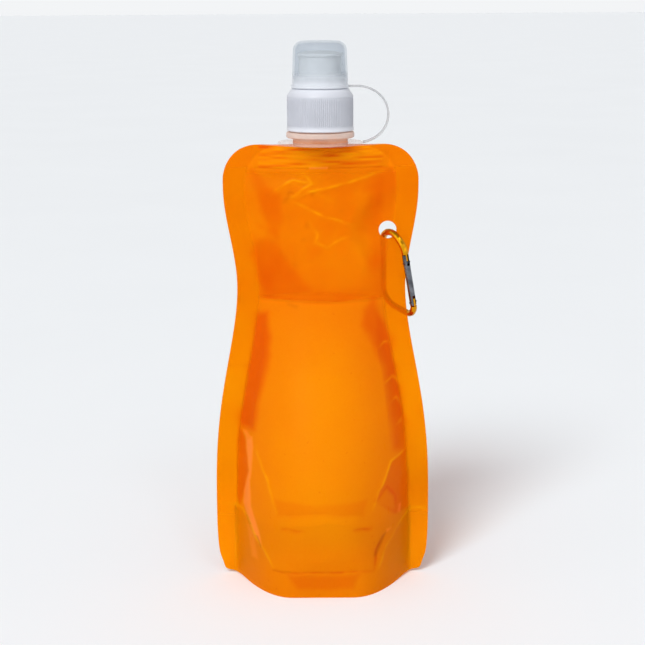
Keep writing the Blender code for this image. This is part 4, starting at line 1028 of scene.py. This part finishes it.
def strap_piece(name, line):
    """Flat strap with rounded edges along a line of (x, z) points."""
    line = np.array(line, float)
    run = np.gradient(line, axis=0)
    run /= np.linalg.norm(run, axis=1, keepdims=True)
    normal = np.stack([-run[:, 1], run[:, 0]], 1)
    half, thick = STRAP_WIDE / 2, STRAP_THICK / 2 * 0.8
    section = [(-half, -thick * 0.5), (-half + 0.3, -thick), (half - 0.3, -thick),
               (half, -thick * 0.5), (half, thick * 0.5), (half - 0.3, thick),
               (-half + 0.3, thick), (-half, thick * 0.5)]
    points = []
    for place, way in zip(line, normal):
        points += [(place[0] + way[0] * up, across, place[1] + way[1] * up)
                   for across, up in section]
    return make(name, points, tube_faces(len(line), 8), STRAP, 50)


cover = cover_piece()
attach(cover, "cover")
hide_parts("dust_cover")

half_way = strap_line(0, 1, 3)[1]
low_line = strap_line(0, half_way, 40)[0]
high_line = strap_line(half_way, 1, 40)[0] + [(COVER_FOOT + 2.0, COVER_Z + STRAP_THICK / 2 + 0.15),
                                              (COVER_FOOT + 0.2, COVER_Z + STRAP_THICK / 2 + 0.15)]
strap_low = strap_piece("strap_lower", low_line)
strap_high = strap_piece("strap_upper", high_line)
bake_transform(strap_low)
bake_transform(strap_high)
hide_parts("tether_strap")

ring_line = rounded([(NECK + 0.3, RING_Z), (RING_OUTER, RING_Z), (RING_OUTER, RING_Z + RING_HIGH),
                     (NECK + 0.3, RING_Z + RING_HIGH)], 0.35)
ring = turned("retaining_ring_skin", ring_line, HALO, 96)
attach(ring, "tether_collar")
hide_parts("retaining_ring")


# ---------------------------------------------------------------- CAD nodes that stay

for node, skin in (("closure_gasket", FOAM), ("carabiner_frame", GOLD), ("carabiner_gate", SILVER),
                   ("gate_hinge_pin", STEEL), ("latch_pin", STEEL), ("gate_spring", STEEL)):
    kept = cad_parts[node]
    for index in range(max(len(kept.material_slots), 1)):
        if not kept.material_slots:
            kept.data.materials.append(skin)
        kept.material_slots[index].material = skin


# ---------------------------------------------------------------- floor, light and camera

FLOOR_RINGS = (0.4, 1.5, 5.0, 15.0, 60.0)                # radii in metres
HORIZON, FRONT_SOFT, OVERHEAD = 0.91, 1.45, 0.34         # brightness of the world
SUN_POWER, SUN_WIDTH, SUN_FROM = 2.2, 22, (-0.30, -0.66, 0.69)
CAMERA_PLACE, CAMERA_TILT, CAMERA_ROLL = (0.0005, -0.700, 0.275), 11.96, -0.34
CAMERA_LENS, CAMERA_SENSOR = 83.17, 36.0


def studio_floor():
    """Wide round floor, far larger than the view."""
    steps = 96
    points = [(0, 0, 0)]
    for radius in FLOOR_RINGS:
        for step in range(steps):
            angle = math.tau * step / steps
            points.append((radius * math.cos(angle) / MM, radius * math.sin(angle) / MM, 0))
    faces = [(0, 1 + step, 1 + (step + 1) % steps) for step in range(steps)]
    for row in range(len(FLOOR_RINGS) - 1):
        for step in range(steps):
            after = (step + 1) % steps
            base, above = 1 + row * steps, 1 + (row + 1) * steps
            faces.append((base + step, above + step, above + after, base + after))
    return make("floor", points, faces, floor_skin(), 80)


def area_light(name, place, aim, size, power):
    data = bpy.data.lights.new(name, "AREA")
    data.shape = "DISK"
    data.size = size
    data.energy = power
    lamp = linked(name, data)
    lamp.location = place
    lamp.rotation_euler = (Vector(aim) - Vector(place)).to_track_quat("-Z", "Y").to_euler()


def studio_world():
    """Soft light, dim overhead and brightest from the front."""
    world = bpy.data.worlds.new("studio")
    world.use_nodes = True
    tree = world.node_tree
    axis = tree.nodes.new("ShaderNodeSeparateXYZ")
    tree.links.new(tree.nodes.new("ShaderNodeTexCoord").outputs["Generated"], axis.inputs[0])
    light = None
    for part, near, far, value in ((1, 0.45, -0.5, FRONT_SOFT), (2, 0.04, 0.75, OVERHEAD)):
        share = tree.nodes.new("ShaderNodeMapRange")
        share.interpolation_type = "SMOOTHSTEP"
        share.inputs["From Min"].default_value = near
        share.inputs["From Max"].default_value = far
        tree.links.new(axis.outputs[part], share.inputs["Value"])
        blend = tree.nodes.new("ShaderNodeMix")
        blend.data_type = "RGBA"
        tree.links.new(share.outputs["Result"], blend.inputs[0])
        if light is None:
            blend.inputs[6].default_value = (HORIZON * 0.985, HORIZON, HORIZON * 1.015, 1.0)
        else:
            tree.links.new(light, blend.inputs[6])
        blend.inputs[7].default_value = (value * 0.985, value, value * 1.02, 1.0)
        light = blend.outputs[2]
    tree.links.new(light, tree.nodes["Background"].inputs["Color"])
    bpy.context.scene.world = world


studio_floor()
studio_world()

sun_data = bpy.data.lights.new("key", "SUN")
sun_data.energy = SUN_POWER
sun_data.angle = math.radians(SUN_WIDTH)
linked("key", sun_data).rotation_euler = Vector(SUN_FROM).to_track_quat("Z", "Y").to_euler()
area_light("front_fill", (-0.75, -1.2, 0.55), (0, 0, 0.12), 0.5, 0.9)
area_light("glint", (0.30, -0.80, 1.10), (0, 0, 0.15), 0.22, 1.0)

camera_data = bpy.data.cameras.new("camera")
camera_data.lens = CAMERA_LENS
camera_data.sensor_width = CAMERA_SENSOR
camera = linked("camera", camera_data)
camera.matrix_world = (Matrix.Translation(CAMERA_PLACE)
                       @ Matrix.Rotation(math.radians(90 - CAMERA_TILT), 4, "X")
                       @ Matrix.Rotation(math.radians(CAMERA_ROLL), 4, "Z"))
bpy.context.scene.camera = camera
bpy.context.scene.view_settings.view_transform = "Standard"
